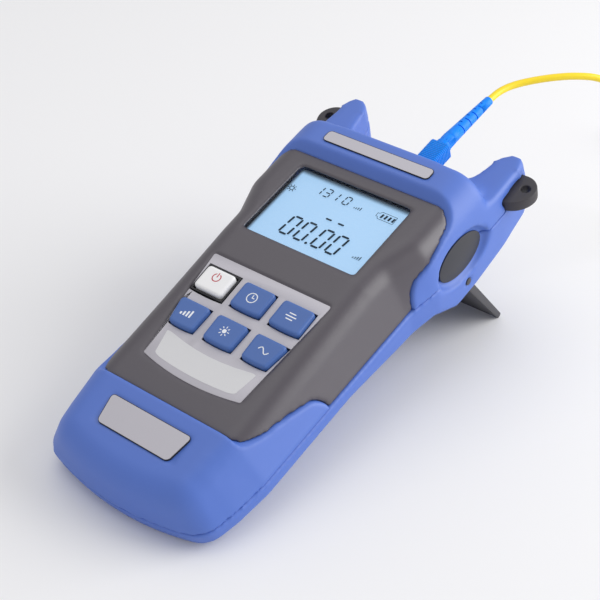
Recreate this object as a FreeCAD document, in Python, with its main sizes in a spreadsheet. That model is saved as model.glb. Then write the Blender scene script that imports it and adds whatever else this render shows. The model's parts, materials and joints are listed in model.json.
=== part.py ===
# Handheld optical power meter with a plugged-in patch cord, standing on its open stand.
#
# Meter frame used for every sketch (millimetres): X across the meter, Y along it from the
# bottom end towards the connector end, Z out of the front face, with Z = 0 on the parting
# plane between the rear shell and the front covers.  Each finished piece is then placed by
# "stance", which tilts the meter back onto its stand and sets it on the plane Z = 0.
import FreeCAD, Part
import math
import os
import Sketcher
from FreeCAD import Placement, Rotation, Vector

SIZES = [
    # name, value, what it is
    ("pin_gap", 0.05, "radial clearance of the stand's pivots"),
    # outline at the parting plane
    ("end_half", 38.6, "half width where the bottom end's arc stops"),
    ("end_sag", 6.3, "how far the bottom end's arc bulges"),
    ("cap_half", 41.6, "half width of the bottom cap"),
    ("cap_half_at", 21.0, "where along the meter that width is"),
    ("body_half", 43.1, "half width of the middle of the meter"),
    ("body_from", 36.0, "where the straight middle starts"),
    ("flare_from", 123.0, "where the sides start to widen to the head"),
    ("flare_to", 138.0, "where the head reaches its full width"),
    ("head_half", 46.0, "half width of the head"),
    ("head_end", 184.0, "connector end wall at the parting plane"),
    ("ear_end", 205.9, "far end of the two ears"),
    ("ear_tip_out", 45.2, "outer edge of an ear at its tip"),
    ("ear_tip_in", 32.2, "inner edge of an ear at its tip"),
    ("ear_root_in", 29.6, "inner edge of an ear at the end wall"),
    # heights of the front above the parting plane
    ("panel_top", 22.4, "face of the front panel round the display"),
    ("panel_bend", 112.0, "below here the panel's face slopes down"),
    ("deck_slope", 5.12, "slope of the keypad, degrees"),
    ("head_top", 25.8, "face of the top hood"),
    ("hood_edge", 160.3, "edge between the front panel and the top hood"),
    ("hood_face_from", 165.0, "where the hood's flat face starts"),
    ("hood_face_to", 178.5, "where the hood's flat face ends"),
    ("cap_edge", 38.0, "edge between the front panel and the bottom cap"),
    ("cap_top", 18.3, "face of the bottom cap at its upper edge"),
    ("cap_foot_top", 13.3, "the same face carried on to the end of the meter"),
    # depths of the back below the parting plane
    ("back_end_depth", 7.9, "depth of the back at the bottom end"),
    ("back_mid_depth", 13.5, "depth of the back just below the head"),
    ("back_head_depth", 22.5, "depth of the back behind the head"),
    ("back_ear_depth", 15.5, "depth of the back at the ears' tips"),
    ("heel_from", 149.5, "where the deepest part of the back starts"),
    ("heel_to", 163.6, "where it ends"),
    ("back_round", 3.0, "rounding of the back's long edges"),
    # display
    ("display_at", 134.0, "centre of the display"),
    ("window_half_width", 26.0, "half width of the visible display"),
    ("window_half_height", 18.3, "half height of the visible display"),
    ("window_depth", 1.4, "window's face below the panel's face"),
    ("window_thick", 1.2, "thickness of the window"),
    ("window_lip", 2.0, "rim of the window behind the panel"),
    # keypad
    ("deck_top_at", 99.3, "upper edge of the keypad plate"),
    ("deck_length", 51.4, "length of the keypad plate"),
    ("deck_half_top", 28.1, "half width of the keypad plate at its upper edge"),
    ("deck_half_foot", 23.4, "half width of the keypad plate at its lower edge"),
    ("deck_sag", 2.6, "bulge of the keypad plate's lower edge"),
    ("deck_sunk", 0.4, "keypad plate's face below the panel's face"),
    ("deck_thick", 0.6, "thickness of the keypad plate"),
    ("deck_floor", 1.6, "panel left under the keypad plate"),
    ("key_pitch", 18.4, "pitch of the keys across"),
    ("key_row_one", 0.22, "first row of keys, down from the plate's upper edge, as a share of its length"),
    ("key_row_two", 0.545, "second row of keys, as a share of the plate's length"),
    ("key_width", 14.2, "width of a key"),
    ("key_height", 11.4, "height of a key"),
    ("key_proud", 2.0, "how far a key stands above the keypad plate"),
    ("key_travel", 0.9, "travel of a key"),
    ("key_gap", 0.35, "gap round a key"),
    ("key_flange", 0.9, "rim that keeps a key behind the panel"),
    ("frame_width", 15.6, "outer width of the power key's frame"),
    ("frame_height", 12.6, "outer height of the power key's frame"),
    ("frame_proud", 0.25, "how far that frame stands above the keypad plate"),
    # nameplates
    ("top_plate_at", 168.2, "centre of the upper nameplate"),
    ("top_plate_half", 25.4, "half length of the upper nameplate"),
    ("top_plate_height", 5.8, "height of the upper nameplate"),
    ("cap_plate_from", 18.4, "lower edge of the lower nameplate"),
    ("cap_plate_to", 30.1, "upper edge of the lower nameplate"),
    ("cap_plate_half_top", 19.3, "its half width at the upper edge"),
    ("cap_plate_half_foot", 17.1, "its half width at the lower edge"),
    ("plate_thick", 0.8, "thickness of the nameplates"),
    ("plate_sunk", 0.5, "how deep they sit in the covers"),
    # side recess and its inlay
    ("scoop_at", 156.6, "centre of the oval recess along the meter"),
    ("scoop_height", 0.6, "its centre above the parting plane"),
    ("scoop_long", 15.4, "half length of the recess's floor"),
    ("scoop_short", 9.9, "half height of the recess's floor"),
    ("scoop_turn", 7.0, "slant of the recess, degrees"),
    ("scoop_depth", 2.2, "depth of the recess"),
    ("scoop_flare", 30.0, "how far its walls lean outwards, degrees"),
    ("inlay_thick", 0.8, "thickness of the oval inlay"),
    # strap lugs
    ("lug_from", 185.6, "lower end of a strap lug"),
    ("lug_to", 202.2, "upper end of a strap lug"),
    ("lug_reach", 53.2, "outermost point of a strap lug"),
    ("lug_root", 41.0, "inner edge of a lug, inside the shells"),
    ("lug_base", 0.3, "underside of a lug above the parting plane"),
    ("lug_thick", 4.8, "thickness of a lug"),
    ("lug_hole", 2.0, "radius of the strap hole"),
    ("lug_hole_x", 48.6, "strap hole from the centre line"),
    ("lug_hole_y", 195.6, "strap hole along the meter"),
    # stand
    ("stand_inset", 0.6, "side of the case to the side of the stand"),
    ("stand_axis_at", 158.0, "pivot of the stand along the meter"),
    ("stand_axis_depth", 14.4, "pivot of the stand below the parting plane"),
    ("stand_length", 48.0, "pivot to foot"),
    ("stand_thick", 3.8, "thickness of the stand at the pivot"),
    ("stand_foot_thick", 2.5, "thickness of the stand at the foot"),
    ("stand_open", 115.2, "swing of the stand from closed to open, degrees"),
    ("stand_arch", 3.0, "height of the arch between the two feet"),
    ("pivot_radius", 1.5, "radius of the stand's pivots"),
    ("pivot_length", 2.4, "length of each pivot"),
    # batteries and their door
    ("cell_radius", 7.25, "radius of an AA cell"),
    ("cell_length", 49.0, "length of an AA cell's can"),
    ("cell_button", 1.4, "height of its button"),
    ("cell_pitch", 15.2, "pitch of the cells"),
    ("cell_at", 27.0, "lower end of the cells"),
    ("door_half", 26.0, "half width of the battery door"),
    ("door_from", 19.0, "lower edge of the battery door"),
    ("door_to", 82.0, "upper edge of the battery door"),
    ("door_thick", 2.0, "thickness of the battery door"),
    # circuit board and what it carries
    ("board_half", 28.0, "half width of the circuit board"),
    ("board_from", 40.0, "lower edge of the circuit board"),
    ("board_to", 156.5, "upper edge of the circuit board"),
    ("board_height", 11.0, "underside of the circuit board above the parting plane"),
    ("board_thick", 1.6, "thickness of the circuit board"),
    ("glass_thick", 2.2, "thickness of the display glass"),
    ("light_thick", 4.6, "thickness of the display's backlight"),
    ("switch_size", 6.0, "side of a tact switch"),
    ("switch_height", 1.0, "height of a tact switch's case"),
    # optical port and plug
    ("port_x", 13.0, "optical axis from the centre line"),
    ("port_height", 15.4, "optical axis above the parting plane"),
    ("plug_width", 8.9, "width of the connector's grip"),
    ("plug_height", 7.3, "height of the connector's grip"),
    ("plug_from", 177.1, "front of the connector's grip"),
    ("plug_to", 191.5, "back of the connector's grip"),
    ("boot_length", 32.5, "length of the bend relief"),
    ("boot_block", 4.0, "rigid length of the bend relief at the connector"),
    ("boot_droop", 4.8, "droop of its flexible length, degrees"),
    ("boot_root", 3.0, "radius of the bend relief at the connector"),
    ("boot_tip", 1.95, "radius of the bend relief at the cord"),
    ("ferrule_radius", 1.25, "radius of the ferrule"),
    ("cord_radius", 1.5, "radius of the cord"),
    ("coil_radius", 16.5, "middle radius of the coiled cord"),
    ("coil_half", 4.2, "half thickness of the coiled cord"),
]


class Size:
    """A length together with the sheet expression that it comes from."""

    def __init__(self, value, text):
        self.value = value
        self.text = text

    def _join(self, other, sign, swap=False):
        other = size(other)
        left, right = (other, self) if swap else (self, other)
        results = {"+": left.value + right.value, "-": left.value - right.value, "*": left.value * right.value}
        value = left.value / right.value if sign == "/" else results[sign]
        return Size(value, "(%s %s %s)" % (left.text, sign, right.text))

    def __add__(self, other):
        return self._join(other, "+")

    def __radd__(self, other):
        return self._join(other, "+", True)

    def __sub__(self, other):
        return self._join(other, "-")

    def __rsub__(self, other):
        return self._join(other, "-", True)

    def __mul__(self, other):
        return self._join(other, "*")

    def __rmul__(self, other):
        return self._join(other, "*", True)

    def __truediv__(self, other):
        return self._join(other, "/")

    def __neg__(self):
        return Size(-self.value, "(0 - %s)" % self.text)

    def __float__(self):
        return float(self.value)


def size(number):
    """The number as a Size, with its own digits as the expression."""
    return number if isinstance(number, Size) else Size(float(number), "%.9g" % number)


doc = FreeCAD.newDocument("optical_power_meter")
sheet = doc.addObject("Spreadsheet::Sheet", "sizes")
for row, (alias, number, meaning) in enumerate(SIZES, start=1):
    sheet.set("A%d" % row, alias)
    sheet.set("B%d" % row, "%.9g" % number)
    sheet.set("C%d" % row, meaning)
    sheet.setAlias("B%d" % row, alias)
doc.recompute()


class Sheet:
    """The driving sizes, read from the sheet by name."""

    def __getattr__(self, alias):
        return Size(float(sheet.get(alias)), "sizes.%s" % alias)


S = Sheet()


def arc_radius(start, end, sag):
    """Radius of the arc between two points that bulges by sag."""
    across = end[0] - start[0]
    along = end[1] - start[1]
    return (across * across + along * along + 4 * sag * sag) / (8 * sag)


class Bulge:
    """Marks the stretch to the next point as an arc that bulges by sag, to the right of travel."""

    def __init__(self, sag):
        self.sag = size(sag)


class Piece:
    """One real piece, drawn as a PartDesign body of sketches and features."""

    def __init__(self, label):
        self.body = doc.addObject("PartDesign::Body", label)
        self.body.Label = label
        self.label = label

    def _origin(self, role):
        return next(item for item in self.body.Origin.OriginFeatures if item.Role == role)

    def sketch(self, role="XY_Plane", at=0.0, turn=None, about=None):
        """A sketch on an origin plane, moved out by at and, where given, turned about its X axis."""
        at = size(at)
        drawing = self.body.newObject("Sketcher::SketchObject", self.label + "_sketch")
        drawing.AttachmentSupport = [(self._origin(role), "")]
        drawing.MapMode = "FlatFace"
        if turn is None:
            drawing.setExpression(".AttachmentOffset.Base.z", at.text)
            return drawing
        turn = size(turn)
        along, up = size(about[0]), size(about[1])
        drawing.AttachmentOffset = Placement(Vector(0, 0, 0), Rotation(Vector(1, 0, 0), 1.0))
        drawing.setExpression(".AttachmentOffset.Base.y", along.text)
        drawing.setExpression(".AttachmentOffset.Base.z", up.text)
        drawing.setExpression(".AttachmentOffset.Rotation.Angle", turn.text)
        return drawing

    def _fix(self, drawing, index, corner, point):
        for kind, length in (("DistanceX", size(point[0])), ("DistanceY", size(point[1]))):
            rule = Sketcher.Constraint(kind, -1, 1, index, corner, length.value)
            number = drawing.addConstraint(rule)
            if "sizes." in length.text:
                drawing.setExpression("Constraints[%d]" % number, length.text)

    def loop(self, drawing, path):
        """A closed loop of straight and arc stretches; a Bulge comes before the point it leads to."""
        points = [item for item in path if not isinstance(item, Bulge)]
        bulges = {}
        seen = 0
        for item in path:
            if isinstance(item, Bulge):
                bulges[seen - 1] = item.sag
            else:
                seen += 1
        indices = []
        for number, start in enumerate(points):
            end = points[(number + 1) % len(points)]
            a = Vector(float(size(start[0])), float(size(start[1])), 0)
            b = Vector(float(size(end[0])), float(size(end[1])), 0)
            if number not in bulges:
                indices.append((drawing.addGeometry(Part.LineSegment(a, b)), 1, 2))
                continue
            sag = bulges[number]
            chord = (b - a).normalize()
            middle = (a + b) / 2 + Vector(chord.y, -chord.x, 0) * sag.value
            outward = sag.value > 0
            arc = Part.Arc(a, middle, b) if outward else Part.Arc(b, middle, a)
            first, last = (1, 2) if outward else (2, 1)
            indices.append((drawing.addGeometry(arc), first, last))
        for number, (index, first, last) in enumerate(indices):
            follower = indices[(number + 1) % len(indices)]
            drawing.addConstraint(Sketcher.Constraint("Coincident", index, last, follower[0], follower[1]))
        for number, (index, first, last) in enumerate(indices):
            self._fix(drawing, index, first, points[number])
            if number in bulges:
                start = [size(value) for value in points[number]]
                end = [size(value) for value in points[(number + 1) % len(points)]]
                sag = bulges[number]
                radius = arc_radius(start, end, sag if sag.value > 0 else -sag)
                rule = drawing.addConstraint(Sketcher.Constraint("Radius", index, radius.value))
                if "sizes." in radius.text:
                    drawing.setExpression("Constraints[%d]" % rule, radius.text)
        return drawing

    def box(self, drawing, left, right, low, high):
        """A rectangle between four sides."""
        return self.loop(drawing, [(left, low), (right, low), (right, high), (left, high)])

    def circle(self, drawing, across, along, radius):
        """A circle about a point."""
        across, along, radius = size(across), size(along), size(radius)
        centre = Vector(across.value, along.value, 0)
        index = drawing.addGeometry(Part.Circle(centre, Vector(0, 0, 1), radius.value))
        self._fix(drawing, index, 3, (across, along))
        rule = drawing.addConstraint(Sketcher.Constraint("Radius", index, radius.value))
        drawing.setExpression("Constraints[%d]" % rule, radius.text)
        return drawing

    def _feature(self, kind, drawing):
        feature = self.body.newObject("PartDesign::" + kind, self.label + "_" + kind.lower())
        feature.Profile = drawing
        drawing.Visibility = False
        return feature

    def pad(self, drawing, length, both=False, back=False, taper=None):
        """Material from the sketch: one way, or half each way."""
        feature = self._feature("Pad", drawing)
        feature.SideType = "Symmetric" if both else "One side"
        feature.Reversed = back
        feature.setExpression("Length", size(length).text)
        if taper is not None:
            feature.TaperAngle = taper
        return feature

    def pocket(self, drawing, length, both=False, back=False, flare=None):
        """A cut from the sketch, against its normal unless turned back; it must remove something."""
        doc.recompute()
        before = self.body.Shape.Volume
        feature = self._feature("Pocket", drawing)
        feature.SideType = "Symmetric" if both else "One side"
        feature.Reversed = back
        feature.setExpression("Length", size(length).text)
        if flare is not None:
            feature.setExpression("TaperAngle", size(flare).text)
        doc.recompute()
        if self.body.Shape.Volume > before - 0.01:
            raise RuntimeError("a cut in %s removes nothing" % self.label)
        return feature

    def turn(self, drawing, line):
        """A solid of revolution about a line of the sketch or one of its axes."""
        feature = self._feature("Revolution", drawing)
        feature.ReferenceAxis = (drawing, [line])
        return feature

    def loft(self, drawings, ruled=True):
        """Material between sketches."""
        feature = self._feature("AdditiveLoft", drawings[0])
        feature.Sections = [(drawing, [""]) for drawing in drawings[1:]]
        feature.Ruled = ruled
        return feature

    def soften(self, radius, wanted, kind="Fillet"):
        """Rounds or bevels the edges for which wanted(edge) is true."""
        doc.recompute()
        base = self.body.Tip
        names = ["Edge%d" % number for number, edge in enumerate(base.Shape.Edges, start=1) if wanted(edge)]
        if not names:
            raise RuntimeError("no edge to soften on %s" % self.label)
        feature = self.body.newObject("PartDesign::" + kind, self.label + "_" + kind.lower())
        feature.Base = (base, names)
        feature.setExpression("Radius" if kind == "Fillet" else "Size", size(radius).text)
        doc.recompute()
        if "Invalid" in feature.State or not feature.Shape.isValid():
            raise RuntimeError("edges of %s cannot be softened by %s" % (self.label, radius))
        return feature


def middle(edge):
    """A point half way along an edge."""
    return edge.valueAt((edge.FirstParameter + edge.LastParameter) / 2)


def direction(edge):
    """Unit vector along an edge at its middle."""
    return edge.tangentAt((edge.FirstParameter + edge.LastParameter) / 2)


def mirrored(half):
    """A closed path from its right-hand half, which starts at the bottom and ends at the top."""
    other = []
    for item in reversed(half):
        other.append(item if isinstance(item, Bulge) else (-size(item[0]), item[1]))
    return list(half) + other

# Half width and half height of the connector port's flange.
PORT_HALF = 6.6
PORT_RISE = 5.2

# Case screws: from the centre line, along the meter, depth of the head's seat below the parting plane.
SCREWS = [(27.0, 11.0, 4.4), (36.0, 171.5, 9.0)]
SCREW_SHANK = 1.45
SCREW_HEAD = 2.8
SCREW_TIP = 7.0

STAND_HALF = S.body_half - S.stand_inset

FORM_TOP = 26.0
FORM_FOOT = -25.0
WIDE = 130.0

# Corners of the right-hand half of the outline: half width and place at the parting plane,
# then how far each moves in and along by the top of the front form, and by the foot of the back.
CORNERS = [
    (S.end_half, 7.2, 13.6, 6.0, 2.4, 5.0),
    (S.cap_half, S.cap_half_at, 15.0, 1.5, 2.2, 1.0),
    (S.body_half + 0.2, S.body_from, 14.0, 0.0, 2.0, 0.0),
    (S.body_half, S.flare_from, 8.4, 0.0, 1.8, 0.0),
    (S.head_half - 0.2, S.flare_to, 4.2, 0.0, 1.8, 0.0),
    (S.head_half, S.head_end, 3.2, 0.0, 2.0, 0.0),
    (S.head_half - 1.2, S.ear_end - 5.0, 3.0, 0.0, 2.0, 0.0),
    (S.ear_tip_out - 2.6, S.ear_end, 2.6, -0.6, 2.0, -1.4),
    (S.ear_tip_in + 3.6, S.ear_end, -0.6, -0.6, -0.6, -1.4),
    (S.ear_tip_in, S.ear_end - 5.0, -0.6, 0.0, -1.0, -0.6),
    (S.ear_root_in, S.head_end + 5.5, 0.0, 0.0, 0.0, 0.0),
    (S.ear_root_in - 4.5, S.head_end + 1.0, 0.0, 0.0, 0.0, 0.0),
]


def outline(piece, level, shrink=0.0):
    """The meter's outline at the parting plane, at the top of the front form or at the foot of the back."""
    lean = 0 if level == 0 else (2 if level > 0 else 4)
    half = []
    for corner in CORNERS:
        across, along = size(corner[0]), size(corner[1])
        if lean:
            across = across - corner[lean]
            along = along + corner[lean + 1]
        half.append((across - shrink, along))
    return piece.loop(piece.sketch(at=level), mirrored(half) + [Bulge(S.end_sag)])


def cut_side(piece, profile, width=WIDE):
    """Cuts a side profile, drawn in Y and Z, through the piece."""
    piece.pocket(piece.loop(piece.sketch("YZ_Plane"), profile), width, both=True)


def deck_line(along, below=0.0):
    """Height of the sloping lower face of the front panel, less a depth."""
    slope = math.tan(math.radians(float(S.deck_slope)))
    rise = Size(slope, "tan(sizes.deck_slope * 1deg)")
    return S.panel_top - rise * (S.panel_bend - along) - below


def deck_lean():
    """Cosine and sine of the keypad's slope."""
    slope = math.radians(float(S.deck_slope))
    return (Size(math.cos(slope), "cos(sizes.deck_slope * 1deg)"),
            Size(math.sin(slope), "sin(sizes.deck_slope * 1deg)"))


def deck_place(depth):
    """The upper edge of the keypad in the side view, at a depth square to the panel's sloping face."""
    cosine, sine = deck_lean()
    return (S.deck_top_at + depth * sine, deck_line(S.deck_top_at) - depth * cosine)


def row_drop(name):
    """A key's place, down from the keypad plate's upper edge."""
    return S.deck_length * (S.key_row_one if KEYS[name][1] == 1 else S.key_row_two)


# Side views (Y, Z) of the two joints between the front covers, from the seam upwards.
HOOD_JOINT = [(S.flare_from + 2.8, 0.0), Bulge(-1.2), (S.flare_from + 8.5, 10.5),
              (S.flare_from + 26.5, 16.8), Bulge(1.0), (S.hood_edge - 1.0, S.panel_top - 0.4)]
CAP_JOINT = [(73.8, 0.0), Bulge(1.2), (67.6, 7.4), (52.0, 11.0), Bulge(-0.8), (S.cap_edge - 1.0, 15.0)]


def reversed_path(path):
    """The same stretches the other way round."""
    return [Bulge(-item.sag) if isinstance(item, Bulge) else item for item in reversed(path)]


def inside_space():
    """Side view of the room inside the covers."""
    inner = (S.deck_sunk + S.deck_thick + S.deck_floor) / deck_lean()[0]
    return [(18.5, -30.0), (18.5, 11.0), (47.0, deck_line(47.0, inner)), (104.0, deck_line(104.0, inner)),
            (S.display_at - S.window_half_height - S.window_lip, deck_line(104.0, inner)),
            (S.display_at - S.window_half_height - S.window_lip, S.panel_top - S.window_depth),
            (S.display_at + S.window_half_height + S.window_lip, S.panel_top - S.window_depth),
            (S.display_at + S.window_half_height + S.window_lip, 20.2),
            (176.0, 20.2), (176.0, -30.0)]


def upright(low, high, outer=30.0):
    """Picks the side corners of the outline between two places along the meter."""
    return lambda edge: (abs(direction(edge).z) > 0.6 and low < middle(edge).y < high
                         and abs(middle(edge).x) > outer)


def rim(lowest, low, high, inner=20.0):
    """Picks the edges round a cover's face between two places along the meter."""
    return lambda edge: (middle(edge).z > lowest and low < middle(edge).y < high
                         and abs(middle(edge).x) > inner and abs(direction(edge).z) < 0.6)


def cover(label, face, corners, corner_radius, edges, shoulder, shrink=0.0):
    """The outer form of one front cover: drafted sides, a face cut to a side profile, rounded edges."""
    piece = Piece(label)
    piece.loft([outline(piece, 0.0, shrink), outline(piece, FORM_TOP, shrink)])
    cut_side(piece, face + [(230.0, 60.0), (-30.0, 60.0)])
    piece.soften(corner_radius, corners)
    piece.soften(shoulder, edges)
    return piece


def bottom_cap():
    face = [(-6.0, S.cap_foot_top), (S.cap_edge - 3.0, S.cap_top), (90.0, 24.0), (90.0, 40.0)]
    piece = cover("bottom_cap", face, upright(0.0, 50.0), 12.0,
                  lambda e: middle(e).z > 11.0 and middle(e).y < 85.0 and abs(direction(e).z) < 0.6, 12.0)
    cut_side(piece, CAP_JOINT + [(S.cap_edge - 3.0, 60.0), (240.0, 60.0), (240.0, -10.0), (73.8, -10.0)])
    cut_side(piece, inside_space(), 58.0)
    screw_holes(piece, SCREWS[:1])
    floor = piece.sketch("YZ_Plane")
    piece.loop(floor, [(S.cap_plate_from - 0.3, cap_face(S.cap_plate_from - 0.3) - S.plate_sunk),
                       (S.cap_plate_to + 0.3, cap_face(S.cap_plate_to + 0.3) - S.plate_sunk),
                       (S.cap_plate_to + 0.3, 30.0), (S.cap_plate_from - 0.3, 30.0)])
    piece.pocket(floor, 2 * S.cap_plate_half_top + 0.6, both=True)
    return piece


def cap_face(along):
    """Height of the bottom cap's face at a place along the meter."""
    fall = (S.cap_top - S.cap_foot_top) / (S.cap_edge - 3.0 + 6.0)
    return S.cap_top - fall * (S.cap_edge - 3.0 - along)


def front_panel():
    face = [(-30.0, deck_line(-30.0)), (S.panel_bend, S.panel_top), (230.0, S.panel_top)]
    piece = cover("front_panel", face, upright(0.0, 150.0), 12.0, rim(11.0, 30.0, 175.0), 10.0, 0.9)
    cut_side(piece, CAP_JOINT + [(S.cap_edge - 1.0, 60.0), (-30.0, 60.0), (-30.0, -10.0), (73.8, -10.0)])
    cut_side(piece, HOOD_JOINT + [(S.hood_edge - 1.0, 60.0), (240.0, 60.0), (240.0, -10.0),
                                  (S.flare_from + 2.8, -10.0)])
    cut_side(piece, inside_space(), 58.0)
    window = piece.sketch(at=S.panel_top - S.window_depth - 0.5)
    piece.box(window, -S.window_half_width, S.window_half_width,
              S.display_at - S.window_half_height, S.display_at + S.window_half_height)
    piece.pocket(window, 6.0, back=True)
    piece.soften(S.window_depth - 0.15, bezel_edges, "Chamfer")
    deck = deck_sketch(piece, S.deck_sunk + S.deck_thick)
    piece.loop(deck, deck_outline(0.2))
    piece.pocket(deck, 6.0, back=True)
    holes = deck_sketch(piece, size(8.0))
    for name in KEYS:
        piece.loop(holes, key_outline(name, S.key_gap))
    piece.pocket(holes, 12.0, back=True)
    return piece


def bezel_edges(edge):
    """Picks the four upper edges of the display opening."""
    spot = middle(edge)
    return (abs(spot.z - float(S.panel_top)) < 0.05 and abs(spot.x) < float(S.window_half_width) + 0.1
            and abs(spot.y - float(S.display_at)) < float(S.window_half_height) + 0.1)


def deck_outline(grow=0.0):
    """The keypad plate's outline, measured down from its upper edge."""
    half = [(S.deck_half_foot + grow, -S.deck_length - grow + S.deck_sag), (S.deck_half_top + grow, 0.0 + grow)]
    return mirrored(half) + [Bulge(S.deck_sag)]


# Keys: column (in pitches from the middle), row, and how far each side leans in at the foot.
KEYS = {
    "power_key": (-1, 1, 0.0, 0.0),
    "timer_key": (0, 1, 0.0, 0.0),
    "reference_key": (1, 1, 0.0, 0.0),
    "unit_key": (-1, 2, 2.2, 0.4),
    "light_key": (0, 2, 0.4, 0.4),
    "wavelength_key": (1, 2, 0.4, 2.2),
}


def key_outline(name, grow=0.0):
    """A key's outline on the sloping deck, measured down from the keypad plate's upper edge."""
    column, row, left_lean, right_lean = KEYS[name]
    along = -row_drop(name)
    across = S.key_pitch * column
    half_width = S.frame_width / 2 if name == "power_key" else S.key_width / 2
    half_height = S.frame_height / 2 if name == "power_key" else S.key_height / 2
    left, right = across - half_width - grow, across + half_width + grow
    low, high = along - half_height - grow, along + half_height + grow
    return [(left + left_lean, low), Bulge(0.4), (right - right_lean, low), (right, high), (left, high)]


def nameplate_outline(grow=0.0):
    """Outline of the lower nameplate."""
    return mirrored([(S.cap_plate_half_foot + grow, S.cap_plate_from - grow),
                     (S.cap_plate_half_top + grow, S.cap_plate_to + grow)])


def top_hood():
    """Cover over the connector end, with the port's opening and the two ears."""
    face = [(-30.0, S.head_top), (S.hood_face_to, S.head_top), (S.hood_face_to, 11.5),
            (206.0, 10.2), (230.0, 10.2)]
    piece = cover("top_hood", face,
                  lambda e: upright(110.0, 189.0)(e) and (middle(e).y < 170.0 or middle(e).z < 10.0), 25.0,
                  lambda e: (middle(e).z > 19.0 and middle(e).y > 110.0 and abs(middle(e).x) > 20.0
                             and abs(direction(e).y) > 0.6), 14.0)
    cut_side(piece, reversed_path(HOOD_JOINT) + [(S.flare_from + 2.8, -10.0), (-30.0, -10.0), (-30.0, 60.0),
                                                 (S.hood_face_from - 2.5, 60.0),
                                                 (S.hood_face_from - 2.5, S.head_top)])
    piece.soften(3.0, lambda e: (abs(middle(e).y - float(S.hood_face_to)) < 0.1
                                 and abs(middle(e).z - float(S.head_top)) < 0.1))
    ramp = piece.loop(piece.sketch("YZ_Plane"), [(S.hood_face_to - 1.0, 11.0), (S.head_end + 1.0, 11.0),
                                                 (S.head_end + 1.0, 11.9), Bulge(-1.6), (S.hood_face_to, 19.5),
                                                 (S.hood_face_to - 1.0, 19.5)])
    piece.pad(ramp, 78.0, both=True)
    cut_side(piece, inside_space(), 58.0)
    plate = piece.box(piece.sketch(at=S.head_top - S.plate_sunk), -S.top_plate_half - 0.2, S.top_plate_half + 0.2,
                      S.top_plate_at - S.top_plate_height / 2 - 0.2, S.top_plate_at + S.top_plate_height / 2 + 0.2)
    piece.pocket(plate, 5.0, back=True)
    port = piece.box(piece.sketch("XZ_Plane", at=-(S.hood_face_to - 10.0)), S.port_x - PORT_HALF,
                     S.port_x + PORT_HALF, S.port_height - PORT_RISE, S.port_height + PORT_RISE)
    piece.pocket(port, 30.0)
    screw_holes(piece, SCREWS[1:])
    scoops(piece)
    lug_seats(piece)
    return piece


def scoops(piece):
    """Cuts the oval recess in both sides, its walls flaring outwards."""
    for side in (-1, 1):
        drawing = piece.sketch("YZ_Plane", at=(S.head_half - 1.2 - S.scoop_depth) * side)
        oval(piece, drawing, S.scoop_long, S.scoop_short)
        piece.pocket(drawing, 6.0, back=(side > 0), flare=S.scoop_flare)


def oval(piece, drawing, long_half, short_half):
    """The recess's outline, slanted a little: an ellipse fixed by its centre and axes."""
    centre = Vector(S.scoop_at.value, S.scoop_height.value, 0)
    slant = -math.radians(float(S.scoop_turn))
    long_end = centre + Vector(math.cos(slant), math.sin(slant), 0) * float(long_half)
    short_end = centre + Vector(-math.sin(slant), math.cos(slant), 0) * float(short_half)
    index = drawing.addGeometry(Part.Ellipse(long_end, short_end, centre))
    drawing.exposeInternalGeometry(index)
    piece._fix(drawing, index, 3, (S.scoop_at, S.scoop_height))
    for line, length in ((index + 1, 2 * long_half), (index + 2, 2 * short_half)):
        rule = drawing.addConstraint(Sketcher.Constraint("Distance", line, length.value))
        drawing.setExpression("Constraints[%d]" % rule, length.text)
    rule = drawing.addConstraint(Sketcher.Constraint("Angle", index + 1, slant))
    drawing.setExpression("Constraints[%d]" % rule, "(0 - sizes.scoop_turn) * 1deg")
    return drawing


def lug_outline(side, grow=0.0):
    """Plan of a strap lug: a D that stands out of the side."""
    root_x, tip_x = S.lug_root - grow, S.lug_reach
    half = [(root_x, S.lug_from - grow), (S.head_half - 1.0, S.lug_from - grow), Bulge(2.2),
            (tip_x, S.lug_hole_y - 0.6), Bulge(2.4), (S.head_half - 1.0, S.lug_to + grow),
            (root_x, S.lug_to + grow)]
    if side > 0:
        return half
    flipped = [item if isinstance(item, Bulge) else (-size(item[0]), item[1]) for item in reversed(half)]
    return flipped


def lug_seats(piece):
    """Cuts the slots in which the strap lugs sit."""
    for side in (-1, 1):
        slot = piece.sketch(at=S.lug_base - 0.05)
        piece.loop(slot, lug_outline(side, 0.05))
        piece.pocket(slot, S.lug_thick + 0.1, back=True)


def strap_lug(side, label):
    """Soft eyelet for the wrist strap, held between the shells."""
    piece = Piece(label)
    piece.pad(piece.loop(piece.sketch(at=S.lug_base), lug_outline(side)), S.lug_thick)
    piece.pocket(piece.circle(piece.sketch(at=S.lug_base), S.lug_hole_x * side, S.lug_hole_y, S.lug_hole),
                 S.lug_thick, back=True)
    return piece


def back_path():
    """Side view of the back, from the bottom end to the ears."""
    return [(-6.0, -S.back_end_depth), (84.0, -S.back_end_depth), (S.flare_from, -S.back_mid_depth),
            (S.flare_to - 2.0, -S.back_mid_depth), (S.heel_from, -S.back_head_depth),
            (S.heel_to, -S.back_head_depth), (S.head_end - 3.0, -S.back_head_depth + 2.4),
            (210.0, -S.back_ear_depth)]


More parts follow.
